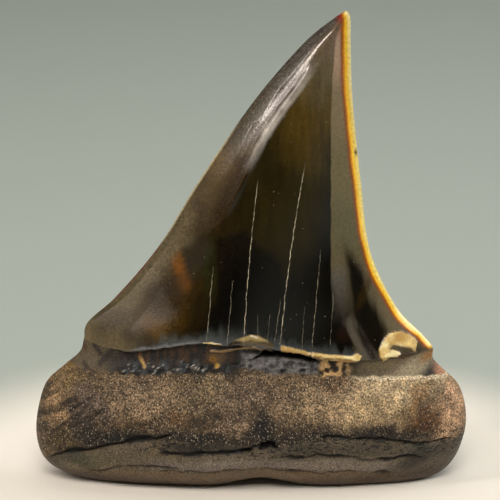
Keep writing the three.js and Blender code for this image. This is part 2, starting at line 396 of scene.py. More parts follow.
@dataclass(frozen=True)
class ToothForm:
    """The smooth tooth, before anything is broken off or worn into it.

    The notch is the arch between the root's lobes. notch_fades, crown_blend, blades_begin and
    end_curve are places along the sections.
    """

    sections: tuple[Section, ...] = SECTIONS
    blade_half_thickness: float = 0.28
    ridge_share: float = 0.60
    tip_bend: float = 1.4
    notch_x: float = 1.2
    notch_rise: float = 1.5
    notch_half_width: float = 4.6
    notch_fades: float = 5.0
    crown_blend: float = 2.5
    blades_begin: float = 6.0
    end_curve: tuple[float, float] = (4.0, 13.0)
    columns: int = 352
    outer_step: int = 4
    edge_crowding: float = 0.8
    flats_softness: float = 0.22
    least_half_dome: float = 0.2

    def row_places(self) -> Array:
        """Splits each stretch between two sections into mesh rows by the section's own spacing.

        Returns:
            The rows' places along the sections, 0 being the first section.
        """
        middles = [
            ((a.left[0] + a.right[0]) / 2, -a.inner, (a.left[1] + a.right[1]) / 2)
            for a in self.sections
        ]
        rows: list[float] = []
        for n, section in enumerate(self.sections[:-1]):
            steps = math.ceil(math.dist(middles[n], middles[n + 1]) / section.spacing)
            rows += [n + i / steps for i in range(steps)]
        return np.array(rows)

    def column_places(self) -> Array:
        """Places across the face: even steps, drawn towards the outline by a quarter sine."""
        even = np.linspace(-1.0, 1.0, self.columns + 1)
        return even + self.edge_crowding * (np.sin(np.pi / 2 * even) - even)

    def sheet(self, face: Face) -> Sheet:
        """The grid of one smooth face.

        A row lies between the outline's points at its place. Its depth is a power of (1 - t^2) in
        the root, t being the place from the crest, and in the crown the soft minimum of a low dome
        and the two flats that rise from the blades.

        Args:
            face: which face.

        Returns:
            The sheet, with each point's distances from the enamel's end and the outline.
        """
        q, s = np.meshgrid(self.row_places(), self.column_places(), indexing="ij")
        is_inner = face is Face.INNER
        table = [
            (*a.left, *a.right, a.inner if is_inner else a.outer, a.power, a.crest, *a.bevels)
            for a in self.sections
        ]
        left_x, left_z, right_x, right_z, depth, power, crest, bevel_left, bevel_right = (
            smooth_along(measures, q) for measures in np.array(table).T
        )

        share = (s + 1) / 2
        x = left_x + (right_x - left_x) * share
        z = left_z + (right_z - left_z) * share
        z = z + self._end_rise(face, q, share)
        notch = np.exp(-(((x - self.notch_x) / self.notch_half_width) ** 2))
        z = z + self.notch_rise * notch * (1 - ramp(0, self.notch_fades, q))

        t = (s - crest) / (1 - crest * s)
        round_off = np.maximum(0.0, 1 - t * t)
        bulge = depth * round_off**power
        crown = self._crown_depth(x, left_x, right_x, depth, bevel_left, bevel_right)
        on_crown = ramp(ENAMEL_SECTION, ENAMEL_SECTION + self.crown_blend, q)
        bulge = bulge + (crown - bulge) * on_crown
        last = len(self.sections) - 1
        sharp = window(self.blades_begin, ENAMEL_SECTION, last - 2, last, q)
        blade = self.blade_half_thickness * sharp
        bend = self.tip_bend * ramp(ENAMEL_SECTION, last + 1, q)
        y = bend + face.value * (bulge + blade * np.sqrt(round_off))

        below = height_at(ENAMEL_END[face], x) - z
        return Sheet(
            face, s, q, x, y, z, below,
            from_left=(x - left_x) * self._slant(left_x, left_z),
            from_right=(right_x - x) * self._slant(right_x, right_z),
        )

    def _end_rise(self, face: Face, q: Array, share: Array) -> Array:
        """Bends the rows near the enamel's end to its curve: its rise over the straight row, faded.

        Args:
            face: which face.
            q: the places along the sections.
            share: the places across, from 0 at the left outline to 1 at the right.

        Returns:
            How far each point goes up.
        """
        end = self.sections[ENAMEL_SECTION]
        x = end.left[0] + (end.right[0] - end.left[0]) * share
        straight = end.left[1] + (end.right[1] - end.left[1]) * share
        begins, ends = self.end_curve
        fade = window(begins, ENAMEL_SECTION, ENAMEL_SECTION, ends, q)
        return (height_at(ENAMEL_END[face], x) - straight) * fade

    def _crown_depth(
        self, x: Array, left: Array, right: Array, depth: Array, bevel_left: Array, bevel_right: Array
    ) -> Array:
        """Depth of the crown: a parabola dome cut by two flats that rise from the outline.

        Args:
            x: x of the points.
            left: x of the left outline.
            right: x of the right outline.
            depth: depth at the dome's middle.
            bevel_left: width of the left flat.
            bevel_right: width of the right flat.

        Returns:
            The depth at each point.
        """
        ridge = self.ridge_share * depth
        middle = (left + bevel_left + right - bevel_right) / 2
        half = np.maximum((right - bevel_right - left - bevel_left) / 2, self.least_half_dome)
        dome = depth * (1 - (1 - self.ridge_share) * ((x - middle) / half) ** 2)
        flats = np.minimum((x - left) * ridge / bevel_left, (right - x) * ridge / bevel_right)
        return np.maximum(softest(dome, flats, self.flats_softness * depth), 0.0)

    @staticmethod
    def _slant(x: Array, z: Array) -> Array:
        """Cosine of the outline's lean, which turns a level distance from it into the nearest one.

        Args:
            x: x of the outline at each row.
            z: z of the outline at each row.

        Returns:
            The cosine at each point.
        """
        dx = np.gradient(x, axis=0)
        dz = np.gradient(z, axis=0)
        return np.abs(dz) / np.maximum(np.hypot(dx, dz), TINY)


@dataclass(frozen=True)
class Crevice:
    """A long split where two layers of the root part, and the layer under it stands back.

    step is how far that layer stands back and layer_height how far down it does, fade is the length
    over which each end closes, and waver how far the split strays from its line.
    """

    line: Line
    half_width: float
    depth: float
    step: float
    seed: int
    fade: float = 2.0
    waver: float = 0.22
    layer_height: float = 2.2

    def parts(self, sheet: Sheet) -> tuple[Array, Array]:
        """The split's own depth, a bell across its wavering line, and the step under it.

        Args:
            sheet: the face it is cut into.

        Returns:
            How dark and deep the split is, from 0 to 1, and how far the layer below stands back.
        """
        first, last = self.line[0][0], self.line[-1][0]
        x, z = sheet.x, sheet.z
        flat = np.zeros(x.shape)
        wander = self.waver * LatticeNoise(2.2, self.seed, 4).at(x, flat, flat)
        swell = 0.70 + 1.1 * LatticeNoise(2.0, self.seed + 50, 3).at(x, flat, flat)
        ragged = 0.07 * LatticeNoise(0.55, self.seed + 90, 2).at(x, flat, z)
        ends = window(first, first + self.fade, last - self.fade, last, x)
        above = z - height_at(self.line, x) - wander + ragged
        width = self.half_width * np.clip(swell, 0.50, 1.6)
        split = ends * np.exp(-((above / width) ** 2))
        back = ends * self.step * window(-self.layer_height, -0.15, -0.12, 0.12, above)
        return split, back


CREVICES = (
    Crevice(
        (
            (-28.4, 3.8), (-25.0, 5.6), (-21.9, 6.5), (-18.3, 7.8), (-16.1, 8.5), (-12.9, 8.9),
            (-10.0, 10.0),
        ),
        half_width=0.34, depth=0.75, step=0.35, seed=3,
    ),
    Crevice(
        ((-13.2, 6.7), (-8.7, 6.7), (-5.4, 7.1), (-1.8, 7.4), (0.2, 7.6)),
        half_width=0.30, depth=0.65, step=0.20, seed=5,
    ),
    Crevice(
        ((3.3, 6.4), (7.6, 6.1), (9.3, 6.4), (13.0, 6.0), (18.3, 5.1), (20.4, 5.6), (24.4, 4.8)),
        half_width=0.20, depth=0.55, step=0.20, seed=8,
    ),
    Crevice(
        ((8.6, 9.5), (11.7, 9.3), (15.0, 8.9), (20.1, 8.0), (22.9, 7.4), (28.2, 7.3)),
        half_width=0.22, depth=0.55, step=0.22, seed=13,
    ),
    Crevice(
        ((-1.8, 4.2), (1.8, 4.4), (5.8, 3.9), (9.8, 3.4), (13.1, 3.6), (19.9, 2.6)),
        half_width=0.19, depth=0.45, step=0.22, seed=21,
    ),
    Crevice(
        ((-23.0, 2.3), (-18.5, 4.1), (-14.1, 4.5), (-9.0, 4.4)),
        half_width=0.14, depth=0.35, step=0.18, seed=34,
    ),
    Crevice(
        ((-12.8, 3.6), (-8.0, 3.9), (-5.5, 3.7), (-3.3, 4.2), (1.0, 4.1)),
        half_width=0.15, depth=0.35, step=0.10, seed=55,
    ),
)


# Lines across the root, from left to right: where its rough upper part ends, where the brown sole
# begins, and the lip at its top under the neck.
PARTING: Line = (
    (-29.0, 3.9), (-25.0, 5.7), (-21.9, 6.6), (-18.3, 7.9), (-12.9, 9.0), (-6.9, 8.6), (-2.0, 8.4),
    (3.5, 8.3), (8.0, 8.6), (11.7, 9.3), (20.1, 8.0), (28.2, 7.2),
)
SOLE: Line = (
    (-28.0, 1.2), (-23.0, 2.2), (-18.5, 3.6), (-14.0, 3.8), (-5.5, 3.6), (-3.3, 4.1), (1.0, 4.2),
    (5.8, 3.9), (9.8, 3.4), (13.0, 3.5), (19.9, 2.6), (26.0, 1.4),
)
LIP: dict[Face, Line] = {
    Face.INNER: (
        (-23.0, 16.7), (-19.9, 17.0), (-15.0, 17.2), (-10.3, 17.8), (-6.9, 18.0), (-3.3, 18.1),
        (-1.5, 18.6), (0.3, 18.6), (1.5, 18.1), (3.2, 18.0), (6.6, 17.9), (8.9, 17.6), (12.7, 17.2),
        (15.4, 16.9), (21.6, 16.3), (26.5, 15.6),
    ),
    Face.OUTER: (
        (-23.0, 17.4), (-14.0, 17.6), (-7.0, 18.6), (0.0, 19.0), (7.0, 18.2), (14.0, 16.8), (26.0, 15.8),
    ),
}

# Lines up the crown: the ridge inside its left bevel, the low ridge that bounds the left flank, and
# the ridge inside its right bevel.
LEFT_RIDGE: Line = (
    (-3.4, 44.0), (-1.1, 48.9), (0.2, 51.4), (1.6, 52.7), (3.7, 56.2), (6.5, 59.5), (8.9, 62.6),
    (11.6, 65.4),
)
FLANK_RIDGE: Line = (
    (-15.9, 22.0), (-14.0, 26.1), (-12.3, 29.0), (-10.3, 32.8), (-8.9, 34.1), (-7.0, 36.3),
    (-4.7, 37.4), (-3.6, 39.0), (-2.2, 41.7), (-1.3, 43.6), (-0.4, 45.5), (0.6, 47.8), (1.7, 50.0),
    (4.3, 54.1), (6.3, 56.8), (7.7, 58.9), (9.2, 61.0),
)
RIGHT_RIDGE: Line = (
    (11.8, 21.0), (11.0, 25.0), (10.7, 31.0), (10.7, 38.6), (10.6, 48.2), (10.7, 56.4), (11.2, 63.0),
    (12.2, 66.0),
)


@dataclass(frozen=True)
class Pit:
    """An opening of a blood vessel: a bell-shaped hollow, wider than it is high."""

    x: float
    z: float
    radius: float
    depth: float

    def share(self, sheet: Sheet) -> Array:
        """A flat-topped bell over the pit's radius, with a ragged edge.

        Args:
            sheet: the face it is cut into.

        Returns:
            1 at the middle of the pit, falling to 0 outside it.
        """
        ragged = 0.35 * LatticeNoise(0.8, 31, 3).at(sheet.x, sheet.y, sheet.z)
        away = np.hypot((sheet.x - self.x) / 1.5, sheet.z - self.z) / self.radius + ragged
        return np.exp(-(away**4))


PITS = (
    Pit(2.1, 8.25, 0.66, 1.3),
    Pit(3.2, 7.85, 0.34, 0.7),
    Pit(-0.5, 7.6, 0.46, 0.9),
    Pit(0.5, 8.3, 0.26, 0.5),
)


@dataclass(frozen=True)
class Flake:
    """A patch of pale enamel laid bare where the dark outer layer broke away.

    outline is its edge as x and z, and rise how far it stands proud, less than 0 where it is a
    hollow.
    """

    outline: Line
    rise: float

    def inside(self, sheet: Sheet) -> Array:
        """Signed distance from its edge, positive inside."""
        wander = LatticeNoise(0.7, 77, 2).at(sheet.x, sheet.y, sheet.z)
        return polygon_depth(self.outline, sheet.x, sheet.z) + 0.07 * wander


PALE_FLAKES = (
    Flake(((4.0, 22.0), (5.9, 21.5), (8.05, 20.9), (7.95, 20.2), (5.9, 20.55), (4.1, 20.9)), 0.26),
    Flake(
        (
            (8.1, 20.9), (11.3, 20.3), (13.6, 20.0), (14.3, 20.25), (14.9, 19.8), (14.5, 18.8),
            (11.3, 19.2), (8.1, 19.95),
        ),
        0.34,
    ),
    Flake(
        (
            (18.1, 21.7), (18.8, 22.2), (20.2, 22.1), (21.5, 21.6), (22.3, 20.9), (22.7, 20.4),
            (22.3, 19.2), (21.5, 19.8), (20.2, 20.25), (19.1, 20.5), (18.8, 20.15), (19.3, 20.05),
            (20.0, 19.75), (20.4, 19.25), (20.1, 18.8), (19.1, 19.0), (17.9, 18.4), (17.4, 19.3),
            (17.3, 20.3), (17.7, 21.1),
        ),
        0.20,
    ),
    Flake(
        (
            (-5.9, 20.95), (-3.8, 21.0), (-2.4, 21.35), (-0.6, 21.75), (0.4, 21.85), (1.8, 21.3),
            (3.0, 20.95), (2.2, 20.75), (0.4, 21.3), (-1.0, 21.2), (-2.6, 20.85), (-4.0, 20.55),
            (-5.8, 20.55),
        ),
        0.18,
    ),
    Flake(((-6.6, 22.15), (-5.4, 22.25), (-4.0, 22.0), (-3.9, 21.7), (-5.4, 21.85), (-6.4, 21.8)), 0.12),
)
DOME = Flake(
    (
        (-3.2, 21.9), (-2.2, 22.7), (-1.1, 23.1), (0.0, 23.5), (1.0, 23.3), (2.0, 22.8), (3.1, 22.2),
        (2.9, 21.5), (0.4, 21.9), (-1.5, 21.7),
    ),
    0.22,
)


@dataclass(frozen=True)
class Wear:
    """Everything broken, worn or eaten into the smooth tooth.

    gap is the undercut below the broken enamel, ridge the low one along the left flank, and
    neck_begins where the neck's hollow deepens from the left. no_flake stands for a place far from
    any flake.
    """

    enamel_step: float = 0.75
    enamel_raggedness: float = 0.16
    neck_begins: tuple[float, float] = (-19.6, -17.0)
    gap: Line = ((0.2, 19.95), (1.6, 20.3), (3.2, 20.5), (5.0, 20.3), (6.6, 19.95), (9.3, 19.15))
    gap_half_height: float = 0.42
    gap_depth: float = 1.3
    ridge_height: float = 0.24
    ridge_half_width: float = 0.52
    ridge_ends: tuple[float, float, float, float] = (38.5, 43.0, 57.5, 61.0)
    fold_height: float = 0.32
    chip_height: float = 0.24
    swell_height: float = 0.30
    knot_height: float = 0.20
    cord_height: float = 0.20
    worn_flat: float = 0.4
    no_flake: float = -9.0

    def apply(self, sheet: Sheet) -> dict[str, Array]:
        """Cuts the wear into a sheet and reports where it is.

        Args:
            sheet: the smooth face; its points are moved.

        Returns:
            The fields of Skin over the sheet, by name.
        """
        x, y, z = sheet.x, sheet.y, sheet.z
        is_inner = sheet.face is Face.INNER
        ragged = sheet.below + self.enamel_raggedness * LatticeNoise(1.3, 9, 3).at(x, y, z)
        ragged_lip = (0.14 + 0.24 * ramp(12.0, 8.0, x)) * LatticeNoise(0.7, 14, 3).at(x, y, z)
        above_lip = z - height_at(LIP[sheet.face], x) + ragged_lip
        neck = ramp(0.0, 0.18, ragged) * ramp(-0.12, 0.30, above_lip)
        neck *= ramp(*self.neck_begins, x) * (1 - 0.35 * ramp(11.0, 15.0, x))
        on_root = ramp(0.5, -0.6, above_lip)
        cut = -self.enamel_step * neck
        cut += on_root * ramp(0.0, 3.0, z) * self._lumps(sheet)
        cut += self._rubble(sheet) * neck
        crevice = np.zeros(x.shape)
        pale = np.full(x.shape, self.no_flake)
        if is_inner:
            broken, crevice, pale = self._broken(sheet)
            cut += broken
        sheet.push(cut * sheet.blunt)
        sheet.z = np.maximum(sheet.z, self.worn_flat)
        return {
            "inner": np.full(x.shape, float(is_inner)),
            "below_enamel": ragged,
            "above_lip": above_lip,
            "from_left": sheet.from_left,
            "from_right": sheet.from_right,
            "crevice": crevice,
            "pale_flake": pale,
        }

    def _broken(self, sheet: Sheet) -> tuple[Array, Array, Array]:
        """What only the inner face has: splits, pits, flakes, the dome, the gap and the low ridge.

        Args:
            sheet: the inner face.

        Returns:
            How far the surface goes out, how much it is inside a dark opening, from 0 to 1, and the
            distance in from the edge of the nearest bare flake.
        """
        openings = [(split.depth, *split.parts(sheet)) for split in CREVICES]
        openings += [(pit.depth, pit.share(sheet), 0.0) for pit in PITS]
        openings += [(self.gap_depth, self._gap(sheet), 0.0)]
        insides = [flake.inside(sheet) for flake in PALE_FLAKES]
        out = self._flank_ridge(sheet) + DOME.rise * ramp(-0.05, 0.5, DOME.inside(sheet))
        for depth, share, back in openings:
            out = out - depth * share - back
        for flake, inside in zip(PALE_FLAKES, insides):
            out = out + flake.rise * ramp(-0.05, 0.12, inside)
        return out, np.max([share for _, share, _ in openings], axis=0), np.max(insides, axis=0)

    def _gap(self, sheet: Sheet) -> Array:
        """The black undercut below the broken enamel, as a flat-topped bell across its line.

        Args:
            sheet: the inner face.

        Returns:
            How far each point is inside the gap, from 0 to 1.
        """
        x, z = sheet.x, sheet.z
        first, last = self.gap[0][0], self.gap[-1][0]
        wander = 0.10 * LatticeNoise(0.9, 27, 2).at(x, np.zeros(x.shape), np.zeros(x.shape))
        half = self.gap_half_height * (0.25 + 0.75 * window(first, 3.0, 6.0, last + 0.5, x))
        across = (z - height_at(self.gap, x) + wander) / half
        return np.exp(-(across**4)) * window(first, first + 0.6, last - 0.3, last, x)

    def _flank_ridge(self, sheet: Sheet) -> Array:
        """A low bell-shaped ridge along the edge of the crown's left flank, fading at both ends.

        Args:
            sheet: the inner face.

        Returns:
            The ridge's height.
        """
        away = (sheet.x - across_at(FLANK_RIDGE, sheet.z)) / self.ridge_half_width
        ends = window(*self.ridge_ends, sheet.z)
        return self.ridge_height * ends * np.exp(-(away**2))

    def _rubble(self, sheet: Sheet) -> Array:
        """The broken ground in the neck: coarse crumple in its middle, small chips along its foot.

        Args:
            sheet: the face.

        Returns:
            How far the ground stands up.
        """
        x, y, z = sheet.x, sheet.y, sheet.z
        folds = self.fold_height * creased(x, y, z)
        chips = self.chip_height * LatticeNoise(0.6, 5, 2).at(x, y, z)
        middle = window(-3.0, 0.0, 9.0, 13.0, x)
        foot = ramp(1.3, 0.4, z - height_at(LIP[sheet.face], x))
        return folds * middle + chips * np.maximum(foot, middle)

    def _lumps(self, sheet: Sheet) -> Array:
        """The root's lumps: broad swells, knots, a fine crumb, and slanting cords at its left end.

        Args:
            sheet: the face.

        Returns:
            How far the root stands out.
        """
        x, y, z = sheet.x, sheet.y, sheet.z
        swell = self.swell_height * LatticeNoise(7.0, 1, 2).at(x, y, z)
        knots = self.knot_height * LatticeNoise(1.8, 2, 3).at(x, y, z)
        upper = ramp(-0.6, 0.6, z - height_at(PARTING, x))
        crumb = (0.03 + 0.06 * upper) * LatticeNoise(0.5, 6, 2).at(x, y, z)
        return swell + knots + crumb + self.cord_height * slanting_cords(x, z)


@dataclass(frozen=True)
class Skin:
    """The joined surface that the finishes are laid on: its points in the sections' millimetres.

    inner is 1 on the inner face, below_enamel and above_lip are distances from the enamel's end and
    from the root's lip, from_left and from_right those from the outline, crevice says how far a
    point is inside a dark opening, and pale_flake how far it is in from a bare flake's edge.
    """

    x: Array
    y: Array
    z: Array
    inner: Array
    below_enamel: Array
    above_lip: Array
    from_left: Array
    from_right: Array
    crevice: Array
    pale_flake: Array


def linear(hex_colour: str) -> tuple[float, float, float, float]:
    """An sRGB hex colour as linear red, green, blue and an alpha of 1.

    Args:
        hex_colour: six hex digits, such as "8a7358".

    Returns:
        The linear colour, by the sRGB curve: c / 12.92 below 0.04045, and above it
        ((c + 0.055) / 1.055) to the power 2.4.
    """
    parts = [int(hex_colour[i : i + 2], 16) / 255 for i in (0, 2, 4)]
    lit = [c / 12.92 if c <= 0.04045 else ((c + 0.055) / 1.055) ** 2.4 for c in parts]
    return (*lit, 1.0)


def plain(hex_colour: str, skin: Skin) -> Array:
    """One linear colour at every point of the surface."""
    return np.broadcast_to(np.array(linear(hex_colour)[:3]), (len(skin.x), 3))


def mixed(ground: Array, top: Array, share: Array) -> Array:
    """Linear colours on top, mixed into the ground's by a share from 0 to 1."""
    return ground + (top - ground) * share[..., None]


def layered(ground: Array, *layers: tuple[str, Array]) -> Array:
    """Colours laid over the ground one after the other, mixed in linear light.

    Args:
        ground: linear colours, the last axis being red, green and blue.
        layers: pairs of a hex colour and how much of it shows, the lowest first.

    Returns:
        The mixed colours.
    """
    for hex_colour, share in layers:
        ground = mixed(ground, np.array(linear(hex_colour)[:3]), share)
    return ground


@dataclass(frozen=True)
class Stain:
    """A soft-edged oval of another colour, placed in the plane of the face."""

    colour: str
    x: float
    z: float
    half_width: float
    half_height: float
    lean_deg: float
    share: float

    def cover(self, x: Array, z: Array) -> Array:
        """A smooth step of the way in from the oval's rim.

        Args:
            x: x of the points.
            z: z of the points.

        Returns:
            How much of the oval's colour shows.
        """
        lean = math.radians(self.lean_deg)
        dx, dz = x - self.x, z - self.z
        across = (dx * math.cos(lean) - dz * math.sin(lean)) / self.half_width
        up = (dx * math.sin(lean) + dz * math.cos(lean)) / self.half_height
        return self.share * ramp(0.0, 0.75, 1 - np.hypot(across, up))


@dataclass(frozen=True)
class Patch:
    """An area of another colour with an outline of its own and an edge as soft as its width."""

    colour: str
    outline: Line
    soft: float
    share: float

    def cover(self, x: Array, z: Array) -> Array:
        """How much of the patch's colour shows: a smooth step across its edge."""
        return self.share * ramp(-self.soft, self.soft, polygon_depth(self.outline, x, z))


@dataclass(frozen=True)
class Thread:
    """A thin line of another colour through points, fading to both sides."""

    colour: str
    line: Line
    half_width: float
    share: float = 1.0

    def cover(self, x: Array, z: Array) -> Array:
        """How much of the line's colour shows: a smooth step of the distance from it."""
        away = line_distance(self.line, x, z)
        return self.share * ramp(self.half_width, 0.3 * self.half_width, away)


Mark = Stain | Patch | Thread


def marked(ground: Array, marks: tuple[Mark, ...], x: Array, z: Array) -> Array:
    """The ground's colours with marks laid over them in order.

    Args:
        ground: linear colours.
        marks: stains, patches and threads, the lowest first.
        x: x of the points.
        z: z of the points.

    Returns:
        The linear colours with the marks.
    """
    return layered(ground, *((mark.colour, mark.cover(x, z)) for mark in marks))


Socket = bpy.types.NodeSocket

# The sockets of a Mix node that mixes colours: its factor, its two colours and its result.
FACTOR, FIRST, SECOND, MIXED = 0, 6, 7, 2
# A Map Range node's sockets are 0 its value, 1 and 2 the bounds it comes from, 3 and 4 those it
# goes to; this setting eases it at both ends.
EASED = {"interpolation_type": "SMOOTHSTEP"}


@dataclass
class Recipe:
    """A material being put together node by node, in the sections' millimetres."""

    name: str
    mm_per_unit: Vector
    section_origin: Vector
    material: bpy.types.Material = field(init=False)
    place: Socket = field(init=False)

    def __post_init__(self) -> None:
        """Starts an empty material and its coordinates."""
        self.material = bpy.data.materials.new(self.name)
        self.material.use_nodes = True
        self.material.node_tree.nodes.clear()
        at = self.add("TexCoord", out="Object")
        self.place = self.add(
            "Mapping", {"Vector": at, "Location": self.section_origin, "Scale": self.mm_per_unit}
        )

    def add(
        self, kind: str, inputs: dict | None = None, out: int | str = 0, **settings: object
    ) -> Socket:
        """Adds a node with its settings, and sets or links its inputs.

        Args:
            kind: the node's type without its ShaderNode prefix.
            inputs: input name or number to a value or to the socket that feeds it.
            out: which output is wanted.
            settings: the node's own properties.

        Returns:
            The wanted output.
        """
        made = self.material.node_tree.nodes.new("ShaderNode" + kind)
        for key, value in settings.items():
            setattr(made, key, value)
        for key, value in (inputs or {}).items():
            if isinstance(value, Socket):
                self.material.node_tree.links.new(value, made.inputs[key])
            else:
                made.inputs[key].default_value = value
        return made.outputs[out]

    def finished(
        self, colour: Socket, roughness: Socket | float, height: Socket | None, ior: float
    ) -> bpy.types.Material:
        """Closes the material with one shader.

        Args:
            colour: the base colour.
            roughness: the roughness.
            height: fine relief in millimetres, laid on as bump, or None.
            ior: the index of refraction.

        Returns:
            The finished material.
        """
        inputs = {"Base Color": colour, "Roughness": roughness, "IOR": ior}
        if height is not None:
            inputs["Normal"] = self.add("Bump", {"Height": height, "Distance": MM}, out="Normal")
        shader = self.add("BsdfPrincipled", inputs)
        output = self.material.node_tree.nodes.new("ShaderNodeOutputMaterial")
        self.material.node_tree.links.new(shader, output.inputs["Surface"])
        return self.material


@dataclass(frozen=True)
class Crack:
    """A hairline split in the enamel, filled with pale silt, that runs up the crown.

    Its x at height z is x + lean * (z - middle) + bow * (z - middle)^2. It fades from core to faint
    times its half width, and over the last of its length past the share called full_length.
    """

    bottom: float
    top: float
    x: float
    lean: float
    bow: float
    half_width: float
    share: float
    core: float = 0.3
    faint: float = 1.7
    full_length: float = 0.75

    def on(self, recipe: Recipe, x: Socket, z: Socket, wander: Socket) -> Socket:
        """How much of the surface the split's filling covers.

        Args:
            recipe: the material.
            x: the place across the tooth.
            z: the place up the tooth.
            wander: how far the split strays sideways.

        Returns:
            The share, from 0 to 1.
        """
        middle = (self.bottom + self.top) / 2
        half = (self.top - self.bottom) / 2
        up = recipe.add("Math", {0: z, 1: middle}, operation="SUBTRACT")
        slope = recipe.add("Math", {0: up, 1: self.bow, 2: self.lean}, operation="MULTIPLY_ADD")
        centre = recipe.add("Math", {0: up, 1: slope, 2: self.x}, operation="MULTIPLY_ADD")
        waved = recipe.add("Math", {0: centre, 1: wander}, operation="ADD")
        across = recipe.add("Math", {0: x, 1: waved}, operation="SUBTRACT")
        away = recipe.add("Math", {0: across}, operation="ABSOLUTE")
        core, faint = self.half_width * self.core, self.half_width * self.faint
        line = recipe.add("MapRange", {0: away, 1: core, 2: faint, 3: 1.0, 4: 0.0}, **EASED)
        along = recipe.add("Math", {0: up}, operation="ABSOLUTE")
        fading = {0: along, 1: half * self.full_length, 2: half, 3: self.share, 4: 0.0}
        ends = recipe.add("MapRange", fading, **EASED)
        return recipe.add("Math", {0: line, 1: ends}, operation="MULTIPLY")


CRACKS = (
    Crack(21.5, 47.0, 5.25, 0.132, 0.0020, 0.050, 1.0),
    Crack(21.5, 44.8, -0.25, 0.085, 0.0016, 0.046, 0.9),
    Crack(21.5, 32.5, -5.55, 0.090, 0.0, 0.045, 0.50),
    Crack(21.5, 31.0, -2.85, 0.085, 0.0, 0.040, 0.40),
    Crack(21.0, 35.0, 8.75, 0.085, 0.0, 0.045, 0.50),
    Crack(21.0, 27.5, 7.00, 0.050, 0.0, 0.035, 0.25),
    Crack(21.0, 29.0, 10.85, 0.055, 0.0, 0.040, 0.35),
    Crack(22.0, 26.5, 2.35, 0.100, 0.0, 0.040, 0.25),
    Crack(22.0, 28.5, 3.55, 0.130, 0.0, 0.040, 0.40),
    Crack(23.0, 26.5, 0.90, 0.000, 0.0, 0.040, 0.18),
)


